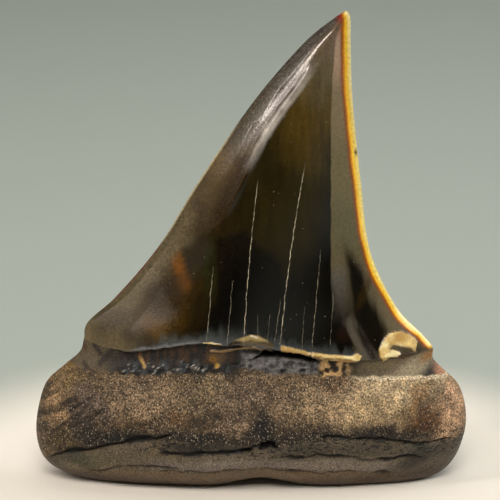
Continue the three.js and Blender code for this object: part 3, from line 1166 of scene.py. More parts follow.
@dataclass(frozen=True)
class PolishedEnamel:
    """Fossil enameloid: dense and glassy, dark with minerals, clear and amber where it is thin.

    It gives the eye a hard shine over depths of brown, and a rim at the cutting edge whose glow, the
    light through the thin enamel, is painted into its colour. Bare flakes where the dark skin broke off
    are cream and dull beside the polish. polish is the roughness of its smoothest and its least smooth
    grain, and the reliefs are in millimetres.
    """

    ground: str = "0a0601"
    silt: str = "cfc4aa"
    ior: float = 1.55
    polish: tuple[float, float] = (0.10, 0.17)
    dull_roughness: float = 0.32
    polished_relief: float = 0.004
    dull_relief: float = 0.05
    grains_per_mm: float = 2.6
    crack_waves_per_mm: float = 0.5
    crack_stray: float = 0.3
    silt_patches_per_mm: float = 1.6
    specks_per_mm: float = 1.3
    # The sides of the dark wedge inside the right edge, from its foot up.
    wedge_left: Line = (
        (16.0, 19.0), (14.4, 21.3), (13.5, 23.4), (13.2, 27.4), (12.8, 30.7), (12.5, 32.8), (12.2, 35.5),
    )
    wedge_right: Line = (
        (17.2, 19.6), (18.0, 20.8), (18.4, 22.5), (17.5, 24.5), (16.4, 26.7), (15.0, 30.9), (14.0, 32.6),
        (12.6, 35.5),
    )
    # Broad and soft: olive up the middle and paler to the tip, brown and green low on the left.
    stains: tuple[Mark, ...] = (
        Stain("2b2207", 4.5, 43.0, 9.0, 15.0, 15.0, 0.9),
        Stain("4f3e16", 8.8, 56.0, 7.5, 13.5, 12.0, 1.0),
        Stain("645840", 9.8, 60.5, 6.0, 8.5, 25.0, 0.9),
        Stain("6a5a49", 11.6, 64.0, 4.0, 6.0, 25.0, 0.9),
        Stain("2a1e05", -8.0, 33.0, 7.0, 14.0, 34.0, 1.0),
        Stain("372605", -12.5, 26.0, 6.5, 8.5, 20.0, 1.0),
        Stain("4e3806", -12.3, 24.8, 2.4, 2.6, 10.0, 0.8),
        Stain("20210a", -5.9, 32.0, 1.7, 7.5, 6.0, 0.9),
        Stain("201503", -7.3, 25.5, 2.2, 6.0, 10.0, 0.7),
    )
    # The black of the crown's middle, and the amber streak on its left.
    marks: tuple[Mark, ...] = (
        Patch(
            "070402", ((-4.7, 36.0), (-4.5, 27.5), (-4.6, 21.0), (4.0, 21.0), (4.0, 33.0), (-1.0, 37.5)),
            0.30, 0.75,
        ),
        Thread("8a6426", ((-10.7, 36.2), (-10.6, 34.4)), 1.1, 0.5),
        Thread("8c5408", ((-10.6, 34.8), (-10.4, 33.2), (-9.8, 31.4)), 1.1, 0.8),
        Thread("643c08", ((-10.1, 32.4), (-9.4, 30.8), (-9.0, 29.4)), 1.3, 0.7),
    )
    # An olive-brown patch and a golden one on the flank's foot.
    flank_marks: tuple[Mark, ...] = (
        Stain("2c1d05", -12.2, 27.2, 3.4, 5.4, 28.0, 0.80),
        Stain("5a3f0c", -13.4, 23.6, 2.6, 2.0, 15.0, 0.55),
    )
    # A brown streak in the band, and a reddish patch at the wedge's foot.
    band_marks: tuple[Mark, ...] = (
        Stain("33240a", 15.2, 28.0, 0.9, 3.4, 24.0, 0.7),
        Stain("240f06", 12.6, 23.0, 1.6, 1.6, 0.0, 0.6),
    )
    # The amber rim's width and the height where it has it, then the red tip and a nick in the edge.
    rim_width: Line = ((0.62, 20.0), (0.70, 28.0), (0.82, 40.0), (1.0, 60.0), (0.8, 66.0))
    rim_marks: tuple[Mark, ...] = (
        Stain("8a2410", 11.7, 66.0, 0.9, 1.5, 0.0, 0.8),
        Stain("1a1206", 14.0, 47.0, 0.30, 0.30, 0.0, 0.9),
    )
    # Browns on the first flake and on the thin wavy one, gold and tan on the crescent at the right.
    flake_marks: tuple[Mark, ...] = (
        Patch("744a14", ((4.2, 21.4), (6.0, 21.0), (8.0, 20.6), (8.0, 19.6), (4.0, 20.3)), 0.22, 0.9),
        Stain("a07a3a", 6.0, 21.4, 3.4, 1.4, 12.0, 0.7),
        Stain("b88a38", 20.4, 21.5, 2.4, 1.2, -10.0, 0.9),
        Patch("a98a58", ((18.6, 20.9), (22.6, 19.8), (22.4, 18.8), (19.8, 20.0), (18.6, 20.0)), 0.2, 0.8),
        Patch("6e5430", ((-6.2, 20.2), (-6.2, 22.0), (3.4, 22.0), (3.4, 20.3)), 0.1, 0.9),
    )
    # The pale streak painted along the low ridge as its highlight, and the grey one at the wedge's foot.
    rubbed: Thread = Thread("e6ddd4", FLANK_RIDGE[10:], 0.80)
    foot_streak: Thread = Thread("6b6256", ((16.6, 19.4), (15.3, 21.2), (14.3, 22.9), (13.4, 24.6)), 1.0)

    def tint(self, skin: Skin) -> Array:
        """The enamel's broad colours: clouded stains, drawn-out grain, and each part's own on top.

        Args:
            skin: the surface.

        Returns:
            The linear colour at each point.
        """
        x, y, z = skin.x, skin.y, skin.z
        wave_x = 1.3 * LatticeNoise(3.2, 41, 4).at(x, y, z)
        wave_z = 1.6 * LatticeNoise(3.2, 42, 4).at(x, y, z)
        colour = marked(plain(self.ground, skin), self.stains, x + wave_x, z + wave_z)
        grain = LatticeNoise(0.45, 40, 2, stretch=(1.0, 1.0, 14.0)).at(x, y, z)
        colour = colour * (1 + 0.22 * grain)[..., None]
        colour = marked(colour, self.marks, x + 0.15 * wave_x, z + 0.15 * wave_z)
        for part in (self._flank, self._foot_reflection, self._band, self._amber_rim_glow, self._flakes):
            colour = part(colour, skin)
        return colour

    def _flank(self, colour: Array, skin: Skin) -> Array:
        """The left flank's painted sheen and stained foot, the grained bevel above it and the pale edges.

        The sheen is a reflection painted into the colour: grey-brown to purplish up the flank, paler
        along the outline and darker inside the low ridge. Its edge is as soft as the ridge is blunt.

        Args:
            colour: the colours below.
            skin: the surface.

        Returns:
            The colours with the flank's laid over them.
        """
        x, y, z = skin.x, skin.y, skin.z
        wave = LatticeNoise(1.4, 43, 3).at(x, y, z)
        cloud = LatticeNoise(4.0, 44, 3).at(x, y, z)
        inside = across_at(FLANK_RIDGE, z) - x + 0.5 * wave * ramp(42.0, 38.0, z)
        soft = 0.10 + 1.0 * ramp(40.5, 37.0, z) + 1.2 * ramp(31.0, 25.0, z)
        outer = ramp(4.0, 1.0, skin.from_left) * window(26.0, 31.0, 38.0, 44.0, z)
        inner = ramp(3.4, 0.6, inside) * window(34.0, 38.0, 46.0, 48.5, z)
        # The painted sheen: a soft reflection of the left side, laid into the colour.
        painted_sheen = layered(
            plain("5a4e34", skin),
            ("4f3f1e", ramp(35.0, 41.0, z)),
            ("5c4826", ramp(42.5, 46.0, z)),
            ("47392a", ramp(47.0, 50.0, z)),
            ("41362f", ramp(51.0, 54.0, z)),
            ("675a42", 0.45 * outer),
            ("2c1e08", 0.6 * ramp(-0.1, 0.7, cloud) * ramp(50.0, 46.0, z)),
            ("2e1d06", 0.85 * inner),
            ("7c6846", 0.35 * ramp(0.1, 0.8, -cloud) * ramp(28.0, 22.0, z)),
        )
        colour = mixed(colour, painted_sheen, ramp(-1.0, 1.0, inside / soft) * ramp(62.0, 58.0, z))
        colour = marked(colour, self.flank_marks, x + 0.8 * cloud, z + 0.5 * wave)
        bevel = ramp(0.12, -0.12, x - across_at(LEFT_RIDGE, z) + 0.05 * wave) * ramp(46.0, 50.0, z)
        # The rubbed thread is a painted highlight: a pale streak along the low ridge, over the ridge's
        # own real shine.
        worn = self.rubbed.cover(x + 0.2 * wave, z) * window(44.5, 51.0, 56.5, 61.0, z)
        edge = ramp(0.26, 0.06, skin.from_left)
        return layered(
            colour,
            ("3e341f", bevel),
            ("4e4740", bevel * ramp(51.0, 61.0, z)),
            (self.rubbed.colour, 0.68 * np.clip(worn * (0.75 + 0.5 * wave), 0.0, 1.0)),
            ("c9b890", 0.75 * edge * window(33.0, 37.0, 47.0, 52.0, z)),
            ("6b2a26", 0.6 * edge * window(25.0, 27.0, 33.0, 35.0, z)),
        )

    @staticmethod
    def _foot_reflection(colour: Array, skin: Skin) -> Array:
        """A painted reflection on the enamel's end: a bluish sheen in vertical streaks, a brighter line
        on the left.

        Args:
            colour: the colours below.
            skin: the surface.

        Returns:
            The colours with the haze laid over them.
        """
        x, y, z = skin.x, skin.y, skin.z
        streaks = LatticeNoise(0.8, 45, 3, stretch=(1.0, 1.0, 9.0)).at(x, y, z)
        height = -skin.below_enamel
        reach = 1.7 + 1.2 * streaks + 1.2 * window(-8.0, -4.0, 3.0, 8.0, x)
        # The bluish streaks and the brighter line at the left are a reflection painted into the colour.
        painted_sheen = ramp(1.0, 0.0, height / np.maximum(reach, 0.3)) * window(-16.5, -12.0, 14.0, 17.5, x)
        bright = ramp(0.5, 0.1, height) * window(-17.5, -15.0, -7.5, -6.5, x)
        return layered(colour, ("4c5050", 0.85 * painted_sheen), ("77777a", 0.7 * bright))

    def _band(self, colour: Array, skin: Skin) -> Array:
        """The band inside the right edge, olive below, tan above and red-brown at the tip, greyed as a
        painted reflection.

        Below it breaks up into a fan of streaks round a dark wedge, with one grey streak beside it.

        Args:
            colour: the colours below.
            skin: the surface.

        Returns:
            The colours with the band's laid over them.
        """
        x, y, z = skin.x, skin.y, skin.z
        wave = LatticeNoise(1.2, 46, 3).at(x, y, z)
        left = across_at(self.wedge_left, z)
        right = across_at(self.wedge_right, z)
        fan = LatticeNoise(0.9, 47, 3).at(x - left, np.zeros(x.shape), 0.16 * z)
        edge = x - across_at(RIGHT_RIDGE, z) + 0.06 * wave
        band = ramp(-0.10, 0.10, edge) * ramp(23.0, 31.0, z + 1.5 * fan + 8 * ramp(13.0, 15.0, x))
        wedge = np.minimum(x - left, right - x) + 0.45 * fan
        dark = ramp(-0.80, 0.95, wedge) * ramp(36.5, 32.0, z + 1.2 * fan)
        outside = ramp(0.0, -1.1, x - left + 1.7 + 0.3 * fan) * ramp(33.0, 29.0, z)
        # The band's own olive, tan and red-brown, paled towards grey as a painted reflection.
        tone = layered(
            plain("665b46", skin),
            ("60573c", ramp(30.0, 36.0, z)),
            ("6e6346", ramp(38.0, 44.0, z)),
            ("7f6f54", ramp(46.0, 53.0, z)),
            ("a88b72", ramp(55.0, 60.0, z)),
            ("8f5a45", ramp(62.5, 64.5, z)),
            ("5a544c", ramp(13.5, 12.0, x) * ramp(33.0, 30.0, z)),
        )
        colour = mixed(colour, tone, band * (1 - 0.98 * dark) * (1 - outside))
        colour = marked(colour, self.band_marks, x + 0.3 * wave, z)
        streak = self.foot_streak.cover(x + 0.5 * fan, z) * ramp(-0.7, 0.5, fan)
        return layered(colour, (self.foot_streak.colour, 0.6 * streak))

    def _amber_rim_glow(self, colour: Array, skin: Skin) -> Array:
        """The amber rim: dark red-brown inwards, then orange, then pale yellow painted glow at the edge.

        Args:
            colour: the colours below.
            skin: the surface.

        Returns:
            The colours with the rim's laid over them.
        """
        x, y, z = skin.x, skin.y, skin.z
        inward = skin.from_right + 0.10 * LatticeNoise(3.0, 48, 2).at(x, y, z)
        inward = inward / across_at(self.rim_width, z)
        on_crown = ramp(18.6, 20.0, z)
        # Amber of the thin enamel, with the glow of light through the edge painted in as pale yellow.
        colour = layered(
            colour,
            ("8a4a20", on_crown * ramp(1.80, 1.15, inward)),
            ("e08a14", on_crown * ramp(1.26, 0.98, inward)),
            ("ffcd40", on_crown * ramp(1.04, 0.74, inward)),
            ("ffe68c", on_crown * ramp(0.64, 0.22, inward)),
            ("ffe9a4", ramp(0.50, 0.10, inward) * ramp(50.0, 58.0, z)),
        )
        return marked(colour, self.rim_marks, x, z)

    def _flakes(self, colour: Array, skin: Skin) -> Array:
        """The bare flakes: cream with a brown lower side and rim, and the dull dome, with painted
        highlight and shade.

        Args:
            colour: the colours below.
            skin: the surface.

        Returns:
            The colours with the flakes' laid over them.
        """
        x, y, z = skin.x, skin.y, skin.z
        grain = LatticeNoise(0.8, 49, 3).at(x, y, z)
        dome = polygon_depth(DOME.outline, x, z)
        on_dome = skin.inner * ramp(-0.05, 0.08, dome)
        painted_dome_highlight = ramp(0.75, 0.20, np.abs(dome - 0.25) + 0.3 * grain) * ramp(22.3, 22.8, z + 0.15 * grain)
        # On the dome the pale bead is a painted highlight and the dark lower left a painted shade, over
        # its real rise.
        colour = layered(
            colour,
            ("4c3f26", 0.9 * on_dome),
            ("a08c5e", 0.9 * on_dome * painted_dome_highlight),
            ("20180a", 0.85 * on_dome * ramp(-0.9, -1.8, x) * ramp(22.9, 22.4, z)),
        )
        drop = z - height_at(((3.0, 21.65), (8.05, 20.55), (14.5, 19.5)), x) + 0.2 * grain
        flake = layered(
            plain("e6c67e", skin),
            ("f8e6ae", ramp(-0.1, 0.5, grain)),
            ("b8924a", 0.5 * ramp(-0.2, -0.6, grain)),
            ("9a6c2a", 0.7 * ramp(0.1, -0.45, drop) * ramp(16.0, 15.0, x)),
        )
        flake = marked(flake, self.flake_marks, x, z)
        flake = layered(flake, ("7a5018", 0.7 * ramp(0.13, 0.02, skin.pale_flake)))
        return mixed(colour, flake, skin.inner * ramp(-0.03, 0.04, skin.pale_flake))

    @staticmethod
    def dullness(skin: Skin) -> Array:
        """Where the polish is gone: on the bare flakes, and nearly so low on the left flank.

        The left bevel, the rest of the flank and the strip between their ridges are rubbed a little.

        Args:
            skin: the surface.

        Returns:
            How dull each point is, from 0 to 1.
        """
        x, y, z = skin.x, skin.y, skin.z
        from_ridge = x - across_at(LEFT_RIDGE, z)
        to_flank = across_at(FLANK_RIDGE, z) - x
        uneven = 1.5 * LatticeNoise(2.5, 55, 2).at(x, y, z)
        parts = (
            skin.inner * ramp(-0.03, 0.04, skin.pale_flake),
            0.85 * ramp(-7.5, -14.0, x + uneven) * ramp(33.0, 27.0, z + uneven),
            0.36 * ramp(0.1, -0.2, from_ridge) * ramp(40.0, 50.0, z),
            0.30 * ramp(-0.2, 0.6, to_flank) * ramp(44.0, 38.0, z),
            0.23 * ramp(0.3, 0.9, from_ridge) * ramp(0.3, 0.8, to_flank) * ramp(42.0, 46.0, z),
        )
        return np.max(parts, axis=0)

    def material(self, mm_per_unit: Vector, section_origin: Vector) -> bpy.types.Material:
        """Builds the material: the tint, mottled, with silt in the cracks and specks of dust.

        The grains are about 0.4 mm across, and stand out most where the surface is half dull.

        Args:
            mm_per_unit: the sections' millimetres in a metre of the piece, along each axis.
            section_origin: the piece's origin in the sections' millimetres.

        Returns:
            The material.
        """
        recipe = Recipe("polished_enameloid", mm_per_unit, section_origin)
        place = recipe.place
        tint = recipe.add("Attribute", out="Color", attribute_name="enamel_tint")
        dull = recipe.add("Attribute", out="Fac", attribute_name="dullness")
        grained = {"Vector": place, "Scale": self.grains_per_mm, "Detail": 3.0, "Roughness": 0.7}
        grain = recipe.add("TexNoise", grained, out="Fac")
        fine = recipe.add("MapRange", {0: grain, 1: 0.3, 2: 0.7, 3: 0.86, 4: 1.16}, **EASED)
        rough = recipe.add("MapRange", {0: grain, 1: 0.35, 2: 0.65, 3: 0.45, 4: 1.75}, **EASED)
        half_dull = recipe.add("Math", {0: dull, 1: 0.5}, operation="PINGPONG")
        mottle = recipe.add("Mix", {0: half_dull, 2: fine, 3: rough})
        colour = recipe.add("VectorMath", {0: tint, "Scale": mottle}, operation="SCALE")
        share = self._silt(recipe)
        colour = recipe.add(
            "Mix", {FACTOR: share, FIRST: colour, SECOND: linear(self.silt)}, MIXED, data_type="RGBA"
        )
        smooth, least_smooth = self.polish
        polish = recipe.add("MapRange", {0: grain, 1: 0.35, 2: 0.7, 3: smooth, 4: least_smooth}, **EASED)
        rubbed = {0: dull, 1: self.dull_roughness, 2: polish}
        roughness = recipe.add("Math", rubbed, operation="MULTIPLY_ADD")
        grit = {0: dull, 1: self.dull_relief, 2: self.polished_relief}
        relief = recipe.add("Math", grit, operation="MULTIPLY_ADD")
        height = recipe.add("Math", {0: grain, 1: relief}, operation="MULTIPLY")
        return recipe.finished(colour, roughness, height, self.ior)

    def _silt(self, recipe: Recipe) -> Socket:
        """Where pale silt shows: in the hairline cracks, patchy along each, and in a few specks.

        The specks are in the middles of cells about 0.8 mm apart, in four cells out of ten.

        Args:
            recipe: the material.

        Returns:
            How much of the surface the silt covers, from 0 to 1.
        """
        place = recipe.place
        x = recipe.add("SeparateXYZ", {0: place}, out="X")
        z = recipe.add("SeparateXYZ", {0: place}, out="Z")
        upwards = recipe.add("CombineXYZ", {"Z": z})
        waved = {"Vector": upwards, "Scale": self.crack_waves_per_mm, "Detail": 4.0}
        wander = recipe.add("TexNoise", waved, out="Fac")
        stray = {0: wander, 1: 2 * self.crack_stray, 2: -self.crack_stray}
        waver = recipe.add("Math", stray, operation="MULTIPLY_ADD")
        cover = 0.0
        for crack in CRACKS:
            cover = recipe.add("Math", {0: cover, 1: crack.on(recipe, x, z, waver)}, operation="MAXIMUM")
        inner = recipe.add("Attribute", out="Fac", attribute_name="inner")
        here = recipe.add("Math", {0: cover, 1: inner}, operation="MULTIPLY")
        patched = {"Vector": place, "Scale": self.silt_patches_per_mm, "Detail": 4.0}
        patches = recipe.add("TexNoise", patched, out="Fac")
        amount = recipe.add("MapRange", {0: patches, 1: 0.38, 2: 0.6, 3: 0.22, 4: 1.0}, **EASED)
        share = recipe.add("Math", {0: here, 1: amount}, operation="MULTIPLY")
        cells = {"Vector": place, "Scale": self.specks_per_mm}
        away = recipe.add("TexVoronoi", cells, out="Distance")
        lot = recipe.add("TexVoronoi", cells, out="Color")
        own = recipe.add("SeparateXYZ", {0: lot}, out="X")
        kept = recipe.add("MapRange", {0: own, 1: 0.6, 2: 1.0, 3: 0.0, 4: 0.6})
        specks = recipe.add("MapRange", {0: away, 1: 0.04, 2: 0.11, 3: 1.0, 4: 0.0}, **EASED)
        dust = recipe.add("Math", {0: kept, 1: specks}, operation="MULTIPLY")
        return recipe.add("Math", {0: share, 1: dust}, operation="MAXIMUM")


@dataclass(frozen=True)
class PorousRoot:
    """Fossil root dentine: bony, dull and grained, with pale crumbs in a dark brown ground.

    The upper root is rough with tan flecks, and the lower root smoother and grey. The neck above is
    bare dentine, dark and wet-looking, with broken rock and silt in its hollows. A crumb is its
    ground lightened by crumb_gain and drawn towards cream by crumb_cream, and the higher crumb_rarity
    is, the fewer are bright. Heights are in millimetres.
    """

    upper: str = "6c5840"
    lower: str = "605442"
    neck: str = "0f0b06"
    crumb: str = "ead9be"
    ior: float = 1.42
    wet_roughness: float = 0.40
    dry_roughness: float = 0.62
    crumb_height: float = 0.20
    grain_height: float = 0.05
    crumb_gain: float = 3.1
    crumb_cream: float = 0.56
    crumb_rarity: float = 1.3
    crumbs_per_mm: float = 3.9
    crumb_squash: tuple[float, float, float] = (1.0, 1.0, 0.72)
    jitters_per_mm: float = 2.2
    jitter: float = 0.5
    pores_per_mm: float = 4.2
    pits_per_mm: float = 2.0
    pit_squash: tuple[float, float, float] = (0.6, 1.0, 1.5)
    # Tan and cream patches on the upper root, and painted shade in dark browns over its hollows and above
    # the splits.
    upper_marks: tuple[Mark, ...] = (
        Stain("a2825d", -27.0, 12.5, 4.5, 6.0, 0.0, 0.9),
        Stain("816839", -24.5, 15.8, 3.5, 2.4, 0.0, 0.6),
        Stain("584a41", -22.0, 12.0, 4.5, 5.0, -30.0, 0.85),
        Stain("a08669", -14.5, 13.6, 7.0, 4.5, 0.0, 0.9),
        Stain("7a674c", -6.0, 15.5, 7.0, 4.0, 0.0, 0.8),
        Stain("7a6552", 0.0, 13.8, 7.0, 5.0, 0.0, 0.7),
        Stain("a98f6e", 12.0, 13.5, 9.5, 5.5, 0.0, 0.95),
        Stain("ceb185", 17.5, 13.5, 7.0, 4.5, 0.0, 0.9),
        Stain("e8ca9e", 20.5, 15.9, 9.0, 2.6, 6.0, 0.9),
        Stain("59391c", 12.0, 16.6, 4.5, 1.6, 0.0, 0.6),
        Stain("7e5a2d", 22.6, 13.6, 1.6, 4.4, 45.0, 0.7),
        Stain("6e4a23", 24.2, 10.4, 4.4, 3.0, -10.0, 0.95),
        Stain("522a0f", 25.4, 9.4, 2.4, 1.4, 10.0, 0.8),
        Stain("d3a882", 28.2, 11.5, 3.4, 6.5, 0.0, 0.9),
        Stain("6e451e", -8.8, 12.7, 2.6, 1.5, 0.0, 0.6),
        Stain("3c2c1b", -5.5, 12.2, 3.2, 1.6, 0.0, 0.7),
        Stain("4c3613", -16.0, 10.8, 6.5, 2.4, -8.0, 0.8),
        Stain("4c3c1e", -26.2, 6.8, 4.5, 2.6, 10.0, 0.9),
        Stain("0c0a05", 2.3, 10.6, 2.2, 3.4, 0.0, 1.0),
        Stain("533d28", 1.2, 14.0, 1.5, 4.0, 0.0, 0.6),
        Stain("2e2012", 5.6, 10.2, 4.0, 1.6, 0.0, 0.6),
        Stain("16140c", -20.0, 8.9, 9.0, 2.3, -8.0, 0.85),
        Stain("15120b", -7.0, 9.6, 7.0, 1.5, 0.0, 0.9),
        Stain("32210c", 16.0, 9.4, 11.0, 1.5, 4.0, 0.75),
        Stain("2d2417", -4.0, 18.2, 8.0, 0.9, 0.0, 0.7),
    )
    # Grey-browns of the lower root, darker between the splits and at the right end.
    lower_marks: tuple[Mark, ...] = (
        Stain("5a5038", -22.0, 5.6, 6.0, 2.6, 12.0, 0.9),
        Stain("827357", -22.5, 2.8, 6.0, 2.2, 0.0, 0.8),
        Stain("685a41", -12.0, 7.0, 5.0, 2.0, 0.0, 0.8),
        Stain("14120b", -7.5, 7.9, 7.5, 1.2, 0.0, 0.9),
        Stain("353425", -23.5, 4.4, 4.5, 1.6, 14.0, 0.8),
        Stain("706451", -2.0, 5.6, 8.0, 1.6, 0.0, 0.9),
        Stain("403627", 8.0, 7.3, 6.0, 1.6, 0.0, 0.8),
        Stain("463d2e", 15.0, 7.2, 7.0, 1.6, 0.0, 0.8),
        Stain("3c3e30", 23.0, 6.3, 3.5, 1.2, 0.0, 0.8),
        Stain("76674f", 12.0, 4.7, 9.0, 1.3, 0.0, 0.9),
        Stain("2b2419", 22.5, 4.6, 5.5, 2.0, -18.0, 0.9),
        Stain("5c4a35", 27.5, 5.0, 3.0, 4.0, 0.0, 0.8),
    )
    # The neck's paler ends with their rust and tan, and thin streaks of amber and dark down it.
    neck_marks: tuple[Mark, ...] = (
        Stain("5c4f39", -22.5, 18.8, 6.0, 4.5, 0.0, 1.0),
        Stain("8a6a34", -24.6, 16.6, 1.6, 1.0, 0.0, 0.8),
        Stain("2c241c", -18.4, 18.4, 2.4, 1.6, 20.0, 0.9),
        Stain("54402a", -4.8, 19.9, 2.0, 1.2, 0.0, 0.9),
        Stain("7a5410", -5.2, 19.6, 0.9, 0.9, 0.0, 0.9),
        Stain("e0b04e", -4.7, 18.7, 0.5, 0.5, 0.0, 0.9),
        Stain("74654c", 19.0, 17.8, 7.5, 3.4, 0.0, 1.0),
        Stain("a8997c", 22.3, 17.2, 4.2, 1.9, -20.0, 0.9),
        Stain("a0703e", 24.4, 18.2, 2.4, 1.1, -20.0, 0.85),
        Stain("c8906e", 26.2, 16.6, 1.8, 2.2, 0.0, 0.9),
        Stain("4a2c18", 20.5, 18.8, 4.5, 0.35, 0.0, 0.8),
        Thread("c8a060", ((-14.9, 19.0), (-14.8, 18.6), (-14.6, 17.9)), 0.30, 0.9),
        Thread("6a4418", ((-15.0, 20.4), (-14.9, 19.0)), 0.35, 0.7),
        Thread("1c1006", ((-21.2, 19.8), (-20.4, 18.9)), 0.55, 0.85),
        Thread("2a1808", ((-22.8, 17.6), (-22.3, 17.0)), 0.50, 0.85),
        Thread("4a2810", ((-23.0, 20.0), (-22.7, 19.4)), 0.45, 0.8),
        Thread("1c1208", ((-18.9, 20.0), (-19.6, 18.6), (-20.4, 17.6)), 0.45, 0.8),
    )

    def tint(self, skin: Skin) -> Array:
        """The root's and the neck's broad colours: the upper root over the lower, and the neck on top.

        Args:
            skin: the surface.

        Returns:
            The linear colour at each point.
        """
        x, y, z = skin.x, skin.y, skin.z
        wave_x = LatticeNoise(2.6, 51, 5).at(x, y, z)
        wave_z = LatticeNoise(2.6, 52, 5).at(x, y, z)
        rise = z - height_at(PARTING, x)
        split = ramp(0.16, 0.5, skin.crevice)
        root = mixed(
            self._lower(skin, wave_x, wave_z),
            self._upper(skin, wave_x, wave_z),
            ramp(-0.35, 0.35, rise + 0.5 * wave_z),
        )
        # Black painted into the splits as their shade, and red-brown in the lower ones.
        root = layered(root, ("080503", split), ("2a140a", 0.8 * split * ramp(5.2, 4.2, z)))
        neck = marked(self._hollow(skin), self.neck_marks, x + 0.35 * wave_x, z + 0.25 * wave_z)
        # The neck's openings, the gap below the enamel among them, are painted black as their shade.
        neck = layered(neck, ("020202", ramp(0.15, 0.6, skin.crevice)))
        return mixed(root, neck, ramp(-0.10, 0.16, skin.above_lip))

    def _upper(self, skin: Skin, wave_x: Array, wave_z: Array) -> Array:
        """The rough upper root: blotches of tan, with painted shade between the cords and over the
        parting line.

        Args:
            skin: the surface.
            wave_x: how the blotches' edges waver across.
            wave_z: how they waver up and down.

        Returns:
            Linear colours.
        """
        x, y, z = skin.x, skin.y, skin.z
        ground = plain(self.upper, skin)
        colour = marked(ground, self.upper_marks, x + 1.9 * wave_x, z + 1.3 * wave_z)
        cloud = LatticeNoise(2.0, 54, 3, stretch=(0.8, 1.0, 1.6)).at(x, y, z)
        uneven = np.exp(0.50 * LatticeNoise(1.1, 53, 4).at(x, y, z) + 0.28 * cloud)
        low = ramp(2.6, 0.3, z - height_at(PARTING, x) + 0.8 * wave_z)
        # Painted shade: dark in the grooves between the cords, and in a band just above the parting line.
        return layered(
            colour * uneven[..., None],
            ("17120d", 0.70 * ramp(-0.05, -0.75, slanting_cords(x, z))),
            ("0d0a06", 0.80 * low * window(-25.0, -21.0, 21.0, 26.0, x)),
            ("f0dcba", 0.85 * ramp(-0.7, -0.1, skin.above_lip) * ramp(12.0, 17.0, x)),
        )

    def _lower(self, skin: Skin, wave_x: Array, wave_z: Array) -> Array:
        """The smoother lower root: grey-brown blotches, a pale strip over the brown sole, dark ends.

        Args:
            skin: the surface.
            wave_x: how the blotches' edges waver across.
            wave_z: how they waver up and down.

        Returns:
            Linear colours.
        """
        x, z = skin.x, skin.z
        ground = plain(self.lower, skin)
        colour = marked(ground, self.lower_marks, x + 0.8 * wave_x, z + 0.4 * wave_z)
        rise = z - height_at(SOLE, x)
        strip = ramp(0.1, 0.5, rise) * ramp(2.5, 1.7, rise + 0.4 * wave_z)
        return layered(
            colour,
            (self.upper, 0.9 * ramp(0.10, -0.15, rise + 0.25 * wave_z)),
            ("3f2a12", 0.85 * ramp(2.6, 0.9, z - 0.05 * np.abs(x))),
            ("3a3128", 0.55 * ramp(22.0, 28.0, np.abs(x))),
            ("7d726a", 0.6 * strip * window(-16.0, -10.0, 16.0, 22.0, x)),
        )

    def _hollow(self, skin: Skin) -> Array:
        """The neck's hollow: brown streaks above, blue-grey chips with painted glints at its foot.

        Its middle is filled with grey rock, with painted shade in its folds and painted highlights on
        their crests, and tan shards follow on the right.

        Args:
            skin: the surface.

        Returns:
            Linear colours.
        """
        x, y, z = skin.x, skin.y, skin.z
        lift = skin.above_lip
        streaks = LatticeNoise(0.45, 54, 2, stretch=(1.0, 1.0, 4.0)).at(x, y, z)
        chips = LatticeNoise(0.6, 55, 2).at(x, y, z)
        glints = LatticeNoise(0.34, 56, 2).at(x, y, z)
        folds = creased(x, y, z)
        left = window(-19.5, -17.0, -4.0, -1.0, x)
        foot = ramp(1.7, 1.0, lift) * window(-18.5, -17.0, -7.0, -5.0, x)
        rock = window(-2.0, 0.0, 8.8, 10.0, x) * ramp(2.4, 1.9, lift)
        shards = window(8.8, 9.8, 12.5, 14.0, x)
        return layered(
            # The specks at the foot are painted glints, and the rock's dark folds and pale crests painted
            # shade and highlight.
            plain(self.neck, skin),
            ("452a10", 0.9 * left * ramp(-0.4, 0.5, streaks) * ramp(0.7, 1.6, lift)),
            ("3a3e42", left * ramp(-0.1, 0.5, chips) * ramp(1.9, 1.1, lift)),
            ("bab4aa", foot * ramp(0.60, 0.80, glints)),
            ("6e6b6c", rock),
            ("242526", 0.8 * rock * ramp(0.10, -0.5, folds)),
            ("8f8c86", 0.7 * rock * ramp(0.75, 0.95, folds)),
            ("4a3620", shards),
            ("d6b078", 0.95 * shards * ramp(-0.1, 0.4, chips)),
            ("1a120a", shards * ramp(0.0, -0.5, chips)),
        )

    @staticmethod
    def crumbs(skin: Skin) -> Array:
        """How strongly the surface is flecked: most on the upper root, less on the right and the sole.

        Args:
            skin: the surface.

        Returns:
            The strength, from 1 down to 0 on the neck and in the openings.
        """
        x, z = skin.x, skin.z
        upper = ramp(-0.5, 0.5, z - height_at(PARTING, x))
        sides = np.maximum(ramp(-20.0, -23.0, x) + ramp(23.0, 26.0, x), 1.2 * ramp(8.0, 15.0, x))
        sole = ramp(0.1, -0.3, z - height_at(SOLE, x))
        root = (0.22 + 0.78 * upper) * (1 - 0.3 * sides) * (1 - 0.7 * sole)
        return root * ramp(0.15, -0.15, skin.above_lip) * ramp(0.3, 0.05, skin.crevice)

    @staticmethod
    def pits(skin: Skin) -> Array:
        """How strongly the surface is pitted: most on both sides of the parting line.

        Args:
            skin: the surface.

        Returns:
            The strength, from 1 down to 0 on the neck.
        """
        rise = skin.z - height_at(PARTING, skin.x)
        below = window(-3.2, -1.2, -0.2, 0.8, rise) * ramp(-20.0, -12.0, skin.x)
        above = 0.8 * window(-0.2, 0.8, 1.0, 3.4, rise)
        everywhere = 0.35 * ramp(0.0, 1.0, rise)
        return np.max((below, above, everywhere), axis=0) * ramp(0.15, -0.15, skin.above_lip)

